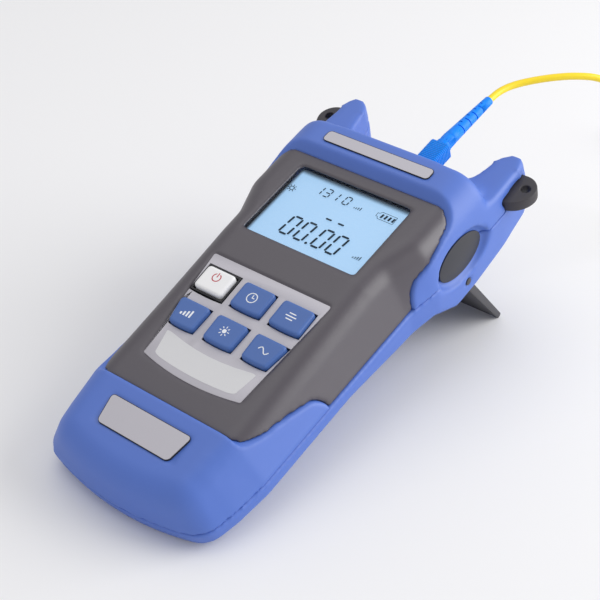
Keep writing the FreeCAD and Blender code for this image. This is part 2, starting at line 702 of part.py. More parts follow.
def rear_shell():
    """Blue back: one moulding with the battery well, the stand's recess and the board's posts."""
    piece = Piece("rear_shell")
    piece.loft([outline(piece, 0.0), outline(piece, FORM_FOOT)])
    cut_side(piece, back_path() + [(240.0, -60.0), (-30.0, -60.0)])
    piece.soften(10.0, upright(0.0, 15.0))
    piece.soften(S.back_round, lambda e: middle(e).z < -6.0 and abs(direction(e).z) < 0.75
                 and (abs(middle(e).x) > 33.0 or middle(e).y < 10.0) and middle(e).y < 196.0)
    cut_side(piece, stand_room(), 2 * STAND_HALF + 0.6)
    for side in (-1, 1):
        bore = piece.circle(piece.sketch("YZ_Plane", at=STAND_HALF * side), S.stand_axis_at,
                            -S.stand_axis_depth, S.pivot_radius + S.pin_gap)
        piece.pocket(bore, S.pivot_length + 0.5, back=(side > 0))
    piece.pocket(piece.box(piece.sketch(), -29.0, 29.0, 18.5, 176.0), 5.1)
    ledge = 2.8
    wall = 1.4
    well = (-S.door_half + ledge, S.door_half - ledge, S.door_from + ledge, S.door_to - ledge)
    block = (well[0] - wall, well[1] + wall, well[2] - wall, well[3] + wall)
    piece.pad(piece.box(piece.sketch(at=-5.2), *block), S.board_height + 5.2)
    piece.pocket(piece.box(piece.sketch(at=-S.back_end_depth - 0.1), *well), S.back_end_depth + S.board_height - 1.1,
                 back=True)
    seat = piece.box(piece.sketch(at=-S.back_end_depth - 0.1), -S.door_half - 0.2, S.door_half + 0.2,
                     S.door_from - 0.2, S.door_to + 0.2)
    piece.pocket(seat, S.door_thick + 0.1, back=True)
    posts = piece.sketch(at=-5.2)
    for side in (-1, 1):
        piece.circle(posts, 24.0 * side, S.board_to - 6.0, 2.6)
    piece.pad(posts, S.board_height + 5.2)
    screw_holes(piece, SCREWS)
    scoops(piece)
    return piece


def screw_holes(piece, places):
    """Clearance and head room for the case screws, from the back."""
    for across, along, head in places:
        for side in (-1, 1):
            hole = piece.circle(piece.sketch(at=-40.0), across * side, along, SCREW_SHANK + 0.05)
            piece.pocket(hole, 40.0 + SCREW_TIP + 0.5, back=True)
            if piece.label != "rear_shell":
                continue
            room = piece.circle(piece.sketch(at=-40.0), across * side, along, SCREW_HEAD + 0.2)
            piece.pocket(room, 40.0 - head, back=True)


def case_screws():
    """The four screws that hold the covers to the back."""
    piece = Piece("case_screws")
    for across, along, head in SCREWS:
        for side in (-1, 1):
            piece.pad(piece.circle(piece.sketch(at=-head), across * side, along, SCREW_SHANK),
                      head + SCREW_TIP).AllowMultiFace = True
            piece.pad(piece.circle(piece.sketch(at=-head), across * side, along, SCREW_HEAD), 1.6, back=True)
    return piece


def stand_lean():
    """How far the open stand goes along the meter and down for each unit of its length."""
    run = Size(-math.cos(math.radians(float(S.stand_open))), "(0 - cos(sizes.stand_open * 1deg))")
    fall = Size(math.sin(math.radians(float(S.stand_open))), "sin(sizes.stand_open * 1deg)")
    return run, fall


def stand_room():
    """Side view of the stand's recess; the open stand rests against its end wall."""
    run, fall = stand_lean()
    rise = S.stand_thick / 2 + 0.3
    half = S.stand_thick / 2 + 0.05
    reach = 12.0
    ceiling = -S.stand_axis_depth + rise
    start = S.stand_axis_at - S.stand_length - 1.5
    foot_z = -S.stand_axis_depth - reach * fall + half * run
    return [(start, ceiling), (S.stand_axis_at + (half - rise * run) / fall, ceiling),
            (S.stand_axis_at + reach * run + half * fall, foot_z), (start, foot_z)]


def kickstand():
    """The stand, drawn open: a tapering leg with two feet and a stub pivot each side."""
    piece = Piece("kickstand")
    run, fall = stand_lean()
    half_root, half_foot = S.stand_thick / 2, S.stand_foot_thick / 2

    def spot(reach, aside):
        """A point in the side view, from the pivot: along the open leg and across it."""
        return (S.stand_axis_at + reach * run + aside * fall, -S.stand_axis_depth - reach * fall + aside * run)

    leg = [spot(0.0, -half_root), spot(S.stand_length - half_foot, -half_foot), Bulge(half_foot * 0.7),
           spot(S.stand_length - half_foot, half_foot), spot(0.0, half_root), Bulge(half_root * 0.95)]
    drawing = piece.loop(piece.sketch("YZ_Plane"), leg)
    piece.pad(drawing, 2 * STAND_HALF, both=True)
    arch = piece.sketch("XZ_Plane", at=-250.0)
    foot = -S.stand_axis_depth - S.stand_length * fall
    half = [(STAND_HALF - 19.0, foot - 2.0), (STAND_HALF - 23.0, foot + S.stand_arch)]
    piece.pocket(piece.loop(arch, mirrored(half)), 200.0, back=True)
    for side in (-1, 1):
        pin = piece.circle(piece.sketch("YZ_Plane", at=(STAND_HALF - 1.0) * side), S.stand_axis_at,
                           -S.stand_axis_depth, S.pivot_radius)
        piece.pad(pin, S.pivot_length + 1.0, back=(side < 0))
    return piece


def flat_piece(label, outline_path, level, thick):
    """A flat piece lying parallel to the parting plane."""
    piece = Piece(label)
    piece.pad(piece.loop(piece.sketch(at=level), outline_path), thick)
    return piece


def rectangle(half_width, low, high):
    """A rectangle centred across the meter."""
    return [(-half_width, low), (half_width, low), (half_width, high), (-half_width, high)]


def corner_edges(edge):
    """Picks upright edges."""
    return abs(direction(edge).z) > 0.9


def display_window():
    low = S.display_at - S.window_half_height - S.window_lip + 0.2
    high = S.display_at + S.window_half_height + S.window_lip - 0.2
    level = S.panel_top - S.window_depth - S.window_thick
    return flat_piece("display_window", rectangle(S.window_half_width + S.window_lip - 0.2, low, high),
                      level, S.window_thick)


def lcd_panel():
    level = S.board_height + S.board_thick + S.light_thick
    return flat_piece("lcd_panel", rectangle(S.window_half_width + 0.8, S.display_at - S.window_half_height - 0.8,
                                             S.display_at + S.window_half_height + 0.8), level, S.glass_thick)


def lcd_backlight():
    return flat_piece("lcd_backlight", rectangle(S.window_half_width + 1.4, S.display_at - S.window_half_height - 1.4,
                                                 S.display_at + S.window_half_height + 1.4),
                      S.board_height + S.board_thick, S.light_thick)


def main_board():
    piece = flat_piece("main_board", rectangle(S.board_half, S.board_from, S.board_to), S.board_height, S.board_thick)
    piece.soften(2.0, corner_edges)
    return piece


def deck_sketch(piece, below):
    """A sketch on the sloping deck, at a depth below its face, with its origin at the plate's upper edge."""
    return piece.sketch("XY_Plane", turn=S.deck_slope, about=deck_place(below))


def keypad_overlay():
    """Thin silver plate on the keypad, with a window for each key."""
    piece = Piece("keypad_overlay")
    piece.pad(piece.loop(deck_sketch(piece, S.deck_sunk + S.deck_thick), deck_outline()), S.deck_thick)
    holes = deck_sketch(piece, S.deck_sunk + S.deck_thick)
    for name in KEYS:
        piece.loop(holes, key_outline(name, S.key_gap))
    piece.pocket(holes, S.deck_thick, back=True)
    return piece


def deck_key(name):
    """A key cap with the flange that keeps it behind the panel and the stem over its switch."""
    piece = Piece(name)
    seat = S.deck_sunk + S.deck_thick + S.deck_floor
    body_depth = seat + 0.05
    if name == "power_key":
        inset = (S.frame_width - S.key_width) / 2 + 0.35
        outer = power_outline(inset)
    else:
        outer = key_outline(name)
    piece.pad(piece.loop(deck_sketch(piece, body_depth), outer), S.key_proud + body_depth - S.deck_sunk)
    top = float(S.key_proud)
    doc.recompute()
    cosine, sine = deck_lean()
    normal = Vector(0, -float(sine), float(cosine))
    origin = Vector(0, *[float(value) for value in deck_place(S.deck_sunk)])
    above = lambda edge: (middle(edge) - origin).dot(normal)
    piece.soften(1.6, lambda e: abs(direction(e).dot(normal)) > 0.9)
    piece.soften(1.1, lambda e: above(e) > top - 0.05)
    flange_path = key_outline(name, S.key_flange) if name != "power_key" else power_outline(0.0)
    piece.pad(piece.loop(deck_sketch(piece, body_depth + 0.9), flange_path), 0.9)
    stem = deck_sketch(piece, body_depth + 0.9)
    piece.circle(stem, S.key_pitch * KEYS[name][0], -row_drop(name), 2.0)
    piece.pad(stem, stem_drop(name), back=True)
    return piece


def power_outline(inset):
    """The power key inside its frame."""
    along = -row_drop("power_key")
    across = -S.key_pitch
    half_width = S.frame_width / 2 - inset
    half_height = S.frame_height / 2 - inset
    return [(across - half_width, along - half_height), (across + half_width, along - half_height),
            (across + half_width, along + half_height), (across - half_width, along + half_height)]


def stem_drop(name):
    """Length of a key's stem: down to just above its switch."""
    cosine, sine = deck_lean()
    depth = S.deck_sunk + S.deck_thick + S.deck_floor + 0.95
    flange_height = deck_line(S.deck_top_at) - depth * cosine - row_drop(name) * sine
    switch_top = S.board_height + S.board_thick + S.switch_height
    return flange_height - switch_top - S.key_travel - 0.4


def power_key_frame():
    """Dark frame let into the keypad plate round the power key."""
    piece = Piece("power_key_frame")
    depth = S.deck_sunk + S.deck_thick + S.deck_floor
    piece.pad(piece.loop(deck_sketch(piece, depth), power_outline(0.0)), depth - S.deck_sunk + S.frame_proud)
    inset = (S.frame_width - S.key_width) / 2
    piece.pocket(piece.loop(deck_sketch(piece, depth), power_outline(inset)), 9.0, back=True)
    return piece


def tact_switches():
    """One switch under each key, soldered to the board."""
    piece = Piece("tact_switches")
    drawing = piece.sketch(at=S.board_height + S.board_thick)
    half = S.switch_size / 2
    for name, (column, *_) in KEYS.items():
        place = S.deck_top_at - row_drop(name) * deck_lean()[0]
        across = S.key_pitch * column
        piece.box(drawing, across - half, across + half, place - half, place + half)
    pad = piece.pad(drawing, S.switch_height)
    pad.AllowMultiFace = True
    return piece


def nameplates():
    upper = flat_piece("top_nameplate", rectangle(S.top_plate_half, S.top_plate_at - S.top_plate_height / 2,
                                                  S.top_plate_at + S.top_plate_height / 2),
                       S.head_top - S.plate_sunk, S.plate_thick)
    lower = Piece("bottom_nameplate")
    low, high = cap_face(S.cap_plate_from) - S.plate_sunk, cap_face(S.cap_plate_to) - S.plate_sunk
    lower.pad(lower.loop(lower.sketch("YZ_Plane"), [(S.cap_plate_from, low), (S.cap_plate_to, high),
                                                    (S.cap_plate_to, high + S.plate_thick),
                                                    (S.cap_plate_from, low + S.plate_thick)]),
              2 * S.cap_plate_half_top, both=True)
    trim = S.cap_plate_half_top - S.cap_plate_half_foot
    for side in (-1, 1):
        wedge = lower.sketch(at=40.0)
        path = [(S.cap_plate_half_foot * side, S.cap_plate_from), ((S.cap_plate_half_top + 1.0) * side, S.cap_plate_from),
                ((S.cap_plate_half_top + 1.0) * side, S.cap_plate_to), (S.cap_plate_half_top * side, S.cap_plate_to)]
        lower.pocket(lower.loop(wedge, path if side > 0 else list(reversed(path))), 60.0)
    return [upper, lower]


def side_inlay(side, label):
    """Bare oval inlay on the floor of a side recess."""
    piece = Piece(label)
    drawing = piece.sketch("YZ_Plane", at=(S.head_half - 1.2 - S.scoop_depth) * side)
    oval(piece, drawing, S.scoop_long - 1.6, S.scoop_short - 1.4)
    piece.pad(drawing, S.inlay_thick, back=(side < 0))
    return piece


def optical_adapter():
    """Connector port: a square flange in the end of the hood and a hollow body behind it."""
    piece = Piece("optical_adapter")
    front = S.plug_from
    back = front - 2.0
    piece.pad(piece.box(piece.sketch("XZ_Plane", at=-back), S.port_x - PORT_HALF, S.port_x + PORT_HALF,
                        S.port_height - PORT_RISE, S.port_height + PORT_RISE), 2.0, back=True)
    piece.pad(piece.box(piece.sketch("XZ_Plane", at=-back), S.port_x - 5.6, S.port_x + 5.6,
                        S.port_height - 4.2, S.port_height + 4.2), 7.0)
    socket = piece.box(piece.sketch("XZ_Plane", at=-front), S.port_x - 3.6, S.port_x + 3.6,
                       S.port_height - 2.8, S.port_height + 2.8)
    piece.pocket(socket, 7.5, back=True)
    return piece


def turned(label, stations, across, height, start):
    """A piece turned about the optical axis: (distance, radius) stations from its front."""
    piece = Piece(label)
    spin(piece, stations, across, height, start)
    return piece


def spin(piece, stations, across, height, start, droop=None):
    """Adds a turned length to a piece, its axis level or drooping from its start."""
    cosine = sine = None
    if droop is not None:
        lean = math.radians(float(droop))
        cosine = Size(math.cos(lean), "cos(%s * 1deg)" % droop.text)
        sine = Size(math.sin(lean), "sin(%s * 1deg)" % droop.text)

    def spot(place, radius):
        """A point of the side view, from the start: along the axis and out from it."""
        if droop is None:
            return (start + place, height + radius)
        return (start + place * cosine + radius * sine, height - place * sine + radius * cosine)

    drawing = piece.sketch("YZ_Plane", at=across)
    path = [spot(stations[0][0], 0.0), spot(stations[-1][0], 0.0)]
    path += [spot(place, radius) for place, radius in reversed(stations)]
    piece.loop(drawing, path)
    ends = [spot(0.0, 0.0), spot(1.0, 0.0)]
    line = Part.LineSegment(*[Vector(float(size(across_y)), float(size(up)), 0) for across_y, up in ends])
    axis = drawing.addGeometry(line, True)
    for number, end in enumerate(ends, start=1):
        piece._fix(drawing, axis, number, end)
    piece.turn(drawing, "Axis0")


def bend_relief(label, across, height, start, droop):
    """Rubber bend relief: a rigid block, then a taper down to the cord."""
    piece = Piece(label)
    spin(piece, [(0.0, S.boot_root), (S.boot_block, S.boot_root)], across, height, start)
    flexible = S.boot_length - S.boot_block
    taper = [(-0.6, S.boot_root - 0.3), (0.0, S.boot_root - 0.05), (flexible, S.boot_tip)]
    spin(piece, taper, across, height, start + S.boot_block, droop)
    return piece


def box_grip(label, across, height, start, end):
    """The square outer sleeve of a connector, bevelled along its corners."""
    piece = Piece(label)
    half_width, half_height = S.plug_width / 2, S.plug_height / 2
    section = piece.sketch("XZ_Plane", at=-start)
    piece.box(section, across - half_width, across + half_width, height - half_height, height + half_height)
    piece.pad(section, end - start, back=True)
    piece.soften(0.9, lambda e: abs(direction(e).y) > 0.9, "Chamfer")
    return piece


def connector(prefix, across, height, start, end, droop):
    """A connector along Y: grip, inner body, ferrule and bend relief."""
    return [box_grip(prefix + "plug_grip", across, height, start, end),
            turned(prefix + "plug_body", [(0.0, 3.3), (2.0, 3.3)], across, height, end),
            turned(prefix + "plug_ferrule", [(0.0, S.ferrule_radius), (6.0, S.ferrule_radius)], across, height,
                   start - 6.0),
            bend_relief(prefix + "cord_boot", across, height, end + 2.0, droop)]


def battery_parts():
    """Three cells side by side, the contacts at their ends and the door behind them."""
    height = -S.back_end_depth + S.door_thick + S.cell_radius
    cells = []
    for number in (1, 2, 3):
        across = S.cell_pitch * (number - 2)
        stations = [(0.0, S.cell_radius), (S.cell_length, S.cell_radius), (S.cell_length, 2.7),
                    (S.cell_length + S.cell_button, 2.7)]
        cells.append(turned("battery_cell_%d" % number, stations, across, height, S.cell_at))
    contacts = Piece("battery_contacts")
    low = S.door_from + 2.8
    high = S.door_to - 2.8
    button_end = S.cell_at + S.cell_length + S.cell_button
    for start, end in ((low, S.cell_at), (button_end, high)):
        plate = contacts.sketch("XZ_Plane", at=-start)
        contacts.pad(contacts.box(plate, -22.0, 22.0, height - 4.0, height + 4.0), 0.5, back=True)
        for number in (1, 2, 3):
            spring = contacts.sketch("XZ_Plane", at=-start)
            contacts.pad(contacts.circle(spring, S.cell_pitch * (number - 2), height, 2.6), end - start, back=True)
    door = Piece("battery_door")
    door.pad(door.box(door.sketch(at=-S.back_end_depth), -S.door_half, S.door_half, S.door_from, S.door_to),
             S.door_thick)
    return cells + [contacts, door]


def arc_path(points):
    """Straight runs through the points, joined by arcs as large as the shorter run allows."""
    edges = []
    last = points[0]
    length = 0.0
    for before, corner, after in zip(points, points[1:], points[2:]):
        into = (corner - before).normalize()
        out = (after - corner).normalize()
        turn = into.getAngle(out)
        reach = 0.45 * min((corner - before).Length, (after - corner).Length)
        radius = reach / math.tan(turn / 2)
        start = corner - into * reach
        end = corner + out * reach
        inward = (out - into).normalize()
        peak = corner + inward * (radius / math.cos(turn / 2) - radius)
        edges.append(Part.LineSegment(last, start).toShape())
        edges.append(Part.Arc(start, peak, end).toShape())
        length += (start - last).Length + radius * turn
        last = end
        print("bend radius %.1f, turn %.0f degrees" % (radius, math.degrees(turn)))
    edges.append(Part.LineSegment(last, points[-1]).toShape())
    length += (points[-1] - last).Length
    return Part.Wire(edges), length


def tube(label, points):
    """A length of cord: its round section swept along the path; returns the object and its length."""
    wire, length = arc_path(points)
    radius = float(S.cord_radius)
    section = Part.Wire([Part.makeCircle(radius, points[0], points[1] - points[0])])
    solid = wire.makePipeShell([section], True, False)
    item = doc.addObject("Part::Feature", label)
    item.Label = label
    item.Shape = solid
    expected = math.pi * radius ** 2 * length
    print("%s: %.0f mm long, volume %.0f of %.0f" % (label, length, solid.Volume, expected))
    if abs(solid.Volume - expected) > 0.01 * expected:
        raise RuntimeError("the cord's volume is wrong")
    return item, length


def coil(label, centre, floor_gap):
    """The wound length of cord as one ring with rounded edges."""
    ring = doc.addObject("Part::Torus", label)
    ring.Label = label
    ring.setExpression("Radius1", "sizes.coil_radius")
    ring.setExpression("Radius2", "sizes.coil_half")
    ring.Placement = Placement(Vector(centre.x, centre.y, float(S.coil_half) + floor_gap), Rotation())
    return ring


covers = [bottom_cap(), front_panel(), top_hood(), rear_shell()]
inside = [display_window(), lcd_panel(), lcd_backlight(), main_board(), tact_switches(), case_screws(),
          turned("detector_module", [(0.0, 3.2), (6.0, 3.2), (6.0, 4.2), (9.0, 4.2)], S.port_x, S.port_height,
                 S.plug_from - 18.0), optical_adapter()]
front = [keypad_overlay(), power_key_frame()] + [deck_key(name) for name in KEYS] + nameplates()
sides = [strap_lug(-1, "strap_lug_left"), strap_lug(1, "strap_lug_right"),
         side_inlay(-1, "side_inlay_left"), side_inlay(1, "side_inlay_right")]
near_plug = connector("", S.port_x, S.port_height, S.plug_from, S.plug_to, S.boot_droop)
stand = kickstand()
meter = covers + inside + front + sides + battery_parts() + [stand] + near_plug
doc.recompute()


def lowest(piece, tilt):
    """Lowest point of a piece when the meter is tilted."""
    shape = piece.body.Shape.copy()
    shape.Placement = Placement(Vector(0, 0, 0), Rotation(Vector(1, 0, 0), tilt))
    return shape.optimalBoundingBox(False).ZMin


def stance():
    """Tilts the meter until its bottom end and its stand touch one plane, and centres it on the origin."""
    low, high = 5.0, 30.0
    for _ in range(16):
        tilt = (low + high) / 2
        if lowest(stand, tilt) < lowest(covers[3], tilt):
            low = tilt
        else:
            high = tilt
    turn = Rotation(Vector(1, 0, 0), tilt)
    boxes = FreeCAD.BoundBox()
    for piece in meter:
        if piece in near_plug:
            continue
        shape = piece.body.Shape.copy()
        shape.Placement = Placement(Vector(0, 0, 0), turn)
        boxes.add(shape.optimalBoundingBox(False))
    placed = Placement(Vector(-boxes.Center.x, -boxes.Center.y, -boxes.ZMin), turn)
    print("the meter leans back %.4f degrees and stands at %.4f %.4f" % (tilt, placed.Base.y, placed.Base.z))
    return placed


standing = stance()
for piece in meter:
    piece.body.Placement = standing

# The cord, on the surface that the meter stands on.  Points are measured from the tip of the bend
# relief, in the standing meter's own directions, down to the coil that lies beside the meter.
droop = math.radians(float(S.boot_droop))
boot_axis = Vector(0, math.cos(droop), -math.sin(droop))
boot_bend = Vector(float(S.port_x), float(S.plug_to) + 2.0 + float(S.boot_block), float(S.port_height))
boot_tip = standing.multVec(boot_bend + boot_axis * float(S.boot_length - S.boot_block))
out_of_boot = standing.Rotation.multVec(boot_axis)
floor = float(S.cord_radius) - boot_tip.z
LEAD = [Vector(0, 0, 0), out_of_boot * 5.0, Vector(1.2, 10.2, 2.1), Vector(3.5, 15.0, 3.1),
        Vector(7.3, 20.2, 4.0), Vector(12.7, 26.1, 4.5), Vector(19.5, 33.4, 3.6), Vector(27.5, 42.4, 0.2),
        Vector(35.7, 51.9, -7.1), Vector(43.3, 60.3, -18.4), Vector(49.2, 66.7, -31.8),
        Vector(53.6, 71.2, -46.0), Vector(58.0, 75.2, floor + 21.5), Vector(64.8, 80.9, floor + 9.8),
        Vector(74.4, 87.9, floor + 2.2), Vector(84.5, 94.0, floor)]
lead, lead_length = tube("cord_lead", [boot_tip + point for point in LEAD])

# The coil's ring: the lead runs into it along a tangent, and the tail leaves it the same way.
arrive = LEAD[-1] - LEAD[-2]
heading = math.atan2(arrive.y, arrive.x)
ring_radius = float(S.coil_radius)


def on_ring(angle, level):
    """A point on the middle line of the coil."""
    return ring_centre + Vector(math.cos(angle), math.sin(angle), 0) * ring_radius + Vector(0, 0, level)


lead_end = boot_tip + LEAD[-1]
ring_centre = Vector(lead_end.x - ring_radius * math.sin(heading), lead_end.y + ring_radius * math.cos(heading), 0)
coil("cord_coil", ring_centre, 0.0)
leave = math.radians(81.0)
tail_run = Vector(-math.sin(leave), math.cos(leave), 0)
tail_side = Vector(math.cos(leave), math.sin(leave), 0)
tail_start = on_ring(leave, float(S.cord_radius))
TAIL = [Vector(0, 0, 0), tail_run * 9.0 + tail_side * 0.8, tail_run * 18.0 + tail_side * 2.6 + Vector(0, 0, 0.6),
        tail_run * 27.0 + tail_side * 3.6 + Vector(0, 0, float(S.plug_height) / 2 - float(S.cord_radius))]
tail, tail_length = tube("cord_tail", [tail_start + point for point in TAIL])

last_run = TAIL[-1] - TAIL[-2]
far_plug = connector("far_", 0.0, 0.0, 0.0, float(S.plug_to - S.plug_from), None)
cap = Piece("far_dust_cap")
cap.pad(cap.circle(cap.sketch("XZ_Plane", at=10.5), 0.0, 0.0, 2.1), 10.5, back=True)
cap.pocket(cap.circle(cap.sketch("XZ_Plane", at=6.2), 0.0, 0.0, 1.3), 6.2, back=False)
far_plug.append(cap)
far_tip = float(S.plug_to - S.plug_from) + 2.0 + float(S.boot_length)
swing = math.degrees(math.atan2(-last_run.y, -last_run.x)) - 90.0
far_turn = Rotation(Vector(0, 0, 1), swing)
tail_end = tail_start + TAIL[-1]
far_place = tail_end - far_turn.multVec(Vector(0, far_tip, 0))
for piece in far_plug:
    piece.body.Placement = Placement(Vector(far_place.x, far_place.y, tail_end.z), far_turn)
far_face = far_turn.multVec(Vector(0, -1, 0))
print("far connector at %.3f %.3f %.3f facing %.5f %.5f" % (far_place.x, far_place.y, tail_end.z, far_face.x, far_face.y))
doc.recompute()

for item in doc.Objects:
    if "Invalid" in item.State or "Error" in item.State:
        raise RuntimeError("%s failed" % item.Label)
finished = [piece.body for piece in meter + far_plug] + [lead, tail, doc.getObject("cord_coil")]
os.makedirs("parts", exist_ok=True)
for item in finished:
    if item.Shape.isNull() or not item.Shape.isValid():
        raise RuntimeError("%s has no sound shape" % item.Label)
    item.Shape.exportStep("parts/%s.step" % item.Label)
whole = FreeCAD.BoundBox()
for item in finished:
    whole.add(item.Shape.BoundBox)
print("%d pieces, %s" % (len(finished), whole))
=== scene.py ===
"""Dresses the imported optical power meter: soft moulded covers, keypad, lit display, port and patch cord."""
import json
import math

import bpy
from bpy.props import FloatProperty, FloatVectorProperty, IntProperty, PointerProperty
from mathutils import Matrix, Vector


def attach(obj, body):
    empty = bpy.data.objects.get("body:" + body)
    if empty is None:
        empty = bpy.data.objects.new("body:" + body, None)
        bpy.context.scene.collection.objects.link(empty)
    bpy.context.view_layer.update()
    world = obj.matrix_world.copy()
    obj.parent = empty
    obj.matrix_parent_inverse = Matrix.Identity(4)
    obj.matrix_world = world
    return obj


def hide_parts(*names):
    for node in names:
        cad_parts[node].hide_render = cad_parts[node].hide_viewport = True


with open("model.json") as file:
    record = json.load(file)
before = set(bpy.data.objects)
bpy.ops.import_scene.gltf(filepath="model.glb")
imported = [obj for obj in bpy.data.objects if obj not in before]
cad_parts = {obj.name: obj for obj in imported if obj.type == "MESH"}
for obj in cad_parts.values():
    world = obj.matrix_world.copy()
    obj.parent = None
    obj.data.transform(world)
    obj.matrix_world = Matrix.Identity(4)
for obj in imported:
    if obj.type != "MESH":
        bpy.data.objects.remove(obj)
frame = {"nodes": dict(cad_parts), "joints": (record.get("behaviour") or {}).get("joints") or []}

bl_info = {
    "name": "Optical power meter",
    "version": (1, 0, 0),
    "blender": (4, 5, 0),
    "location": "View3D > Sidebar > Power meter",
    "description": "Builds the pieces of a handheld optical power meter on its packed frame",
    "category": "Object",
}

MM = 0.001

# Places on the meter in its own directions, in millimetres: X across, Y from the bottom end to the
# connector end, Z out of the front, with Z = 0 on the joint between back and covers.
PANEL_TOP = 22.4
PANEL_BEND = 112.0
DECK_SLOPE = math.radians(5.12)
DECK_TOP_AT = 99.3
DECK_SUNK = 0.4
KEY_PITCH = 18.4
KEY_ROWS = (11.3, 28.0)
DISPLAY_AT = 134.0
DISPLAY_HALF_WIDTH = 26.0
DISPLAY_HALF_HEIGHT = 18.3
DISPLAY_LEVEL = 19.8
PORT_X = 13.0
PORT_HEIGHT = 15.4
PLUG_END = 191.5
PLUG_COLLAR = 2.0
BOOT_BLOCK = 4.0
BOOT_TAPER = 28.5
BOOT_DROOP = math.radians(4.8)
STAND_AXIS = (158.0, -14.4)


def stance():
    """The meter's own directions as a matrix, from the hinge and the battery door's slide."""
    joints = {joint["name"]: joint for joint in frame["joints"]}
    down = Vector(joints["door_release"]["axis"])
    turn = Matrix.Rotation(math.atan2(down.y, -down.z), 4, "X")
    hinge = Vector(joints["stand_hinge"]["pos_m"])
    own = turn @ Vector((0.0, STAND_AXIS[0] * MM, STAND_AXIS[1] * MM))
    return Matrix.Translation(hinge - own) @ turn


def spot(x, y, z):
    """A place of the meter, moved in metres."""
    return Matrix.Translation((x * MM, y * MM, z * MM))


STANCE = stance()
DECK_LEVEL = PANEL_TOP - DECK_SUNK - math.tan(DECK_SLOPE) * (PANEL_BEND - DECK_TOP_AT)
DECK = STANCE @ spot(0.0, DECK_TOP_AT, DECK_LEVEL) @ Matrix.Rotation(DECK_SLOPE, 4, "X")
DISPLAY = STANCE @ spot(0.0, DISPLAY_AT, DISPLAY_LEVEL)
PLUG_AXIS = STANCE @ spot(PORT_X, PLUG_END, PORT_HEIGHT)
BOOT_START = STANCE @ spot(PORT_X, PLUG_END + PLUG_COLLAR + BOOT_BLOCK, PORT_HEIGHT)
BOOT_AXIS = BOOT_START @ Matrix.Rotation(-BOOT_DROOP, 4, "X")


# ---------------------------------------------------------------- sizes and colours to change

def length(name, description, default):
    return FloatProperty(name=name, description=description, default=default, min=0.0, unit="LENGTH",
                         subtype="DISTANCE", precision=5)


def colour(name, description, default):
    return FloatVectorProperty(name=name, description=description, default=default, size=3, min=0.0, max=1.0,
                               subtype="COLOR")


class MeterSizes(bpy.types.PropertyGroup):
    """Sizes of the fine shapes"""
    skin: length("Cover skin", "Spacing of the covers' soft skin", 0.0007)
    plate_corner: length("Plate corner", "Corner radius of the nameplates", 0.0018)
    film_line: length("Film line", "Width of the dark line round the nameplates", 0.00022)
    key_skin: length("Key skin", "Spacing of the keys' soft skin", 0.00024)
    figure_slant: FloatProperty(name="Figure slant", description="Lean of the display's figures",
                                default=0.11)
    cord_diameter: length("Cord diameter", "Diameter of the patch cord", 0.003)
    cord_length: length("Cord length", "Length of the patch cord's free run", 0.96)
    coil_points: IntProperty(name="Coil points", description="Points in each turn of the coil",
                             default=16, min=12)


class MeterColours(bpy.types.PropertyGroup):
    """Colours of the finishes"""
    cover: colour("Cover", "Blue covers", (0.066, 0.155, 0.56))
    panel: colour("Panel", "Dark grey front panel", (0.056, 0.047, 0.062))
    film: colour("Film", "Silver keypad film and nameplates", (0.49, 0.475, 0.52))
    field: colour("Field", "Light field of the keypad", (0.66, 0.66, 0.675))
    key: colour("Key", "Blue keys", (0.06, 0.14, 0.41))
    glow: colour("Display", "Lit display", (0.425, 0.69, 1.0))
    jacket: colour("Jacket", "Patch cord", (0.95, 0.71, 0.012))
    plug: colour("Plug", "Connector and bend relief", (0.0, 0.235, 0.92))


# ---------------------------------------------------------------- shaders

class Shade:
    """A value in a material's node tree; arithmetic on it adds maths nodes."""

    def __init__(self, finish, socket):
        self.finish = finish
        self.socket = socket

    def _maths(self, operation, *values):
        return self.finish.node("ShaderNodeMath", {"operation": operation}, dict(enumerate(values)))

    def __add__(self, other):
        return self._maths("ADD", self, other)

    def __radd__(self, other):
        return self._maths("ADD", other, self)

    def __sub__(self, other):
        return self._maths("SUBTRACT", self, other)

    def __rsub__(self, other):
        return self._maths("SUBTRACT", other, self)

    def __mul__(self, other):
        return self._maths("MULTIPLY", self, other)

    def __rmul__(self, other):
        return self._maths("MULTIPLY", other, self)

    def __truediv__(self, other):
        return self._maths("DIVIDE", self, other)

    def __rtruediv__(self, other):
        return self._maths("DIVIDE", other, self)

    def __gt__(self, other):
        return self._maths("GREATER_THAN", self, other)

    def sine(self):
        return self._maths("SINE", self)

    def ramp(self, low, high):
        """0 below low, 1 above high, smooth between."""
        return self.finish.node("ShaderNodeMapRange", {"interpolation_type": "SMOOTHSTEP"},
                                {"Value": self, "From Min": low, "From Max": high}, "Result")

    def between(self, first, second):
        """A colour from the first at 0 to the second at 1."""
        return self.finish.node("ShaderNodeMix", {"data_type": "RGBA"}, {0: self, 6: first, 7: second}, 2)


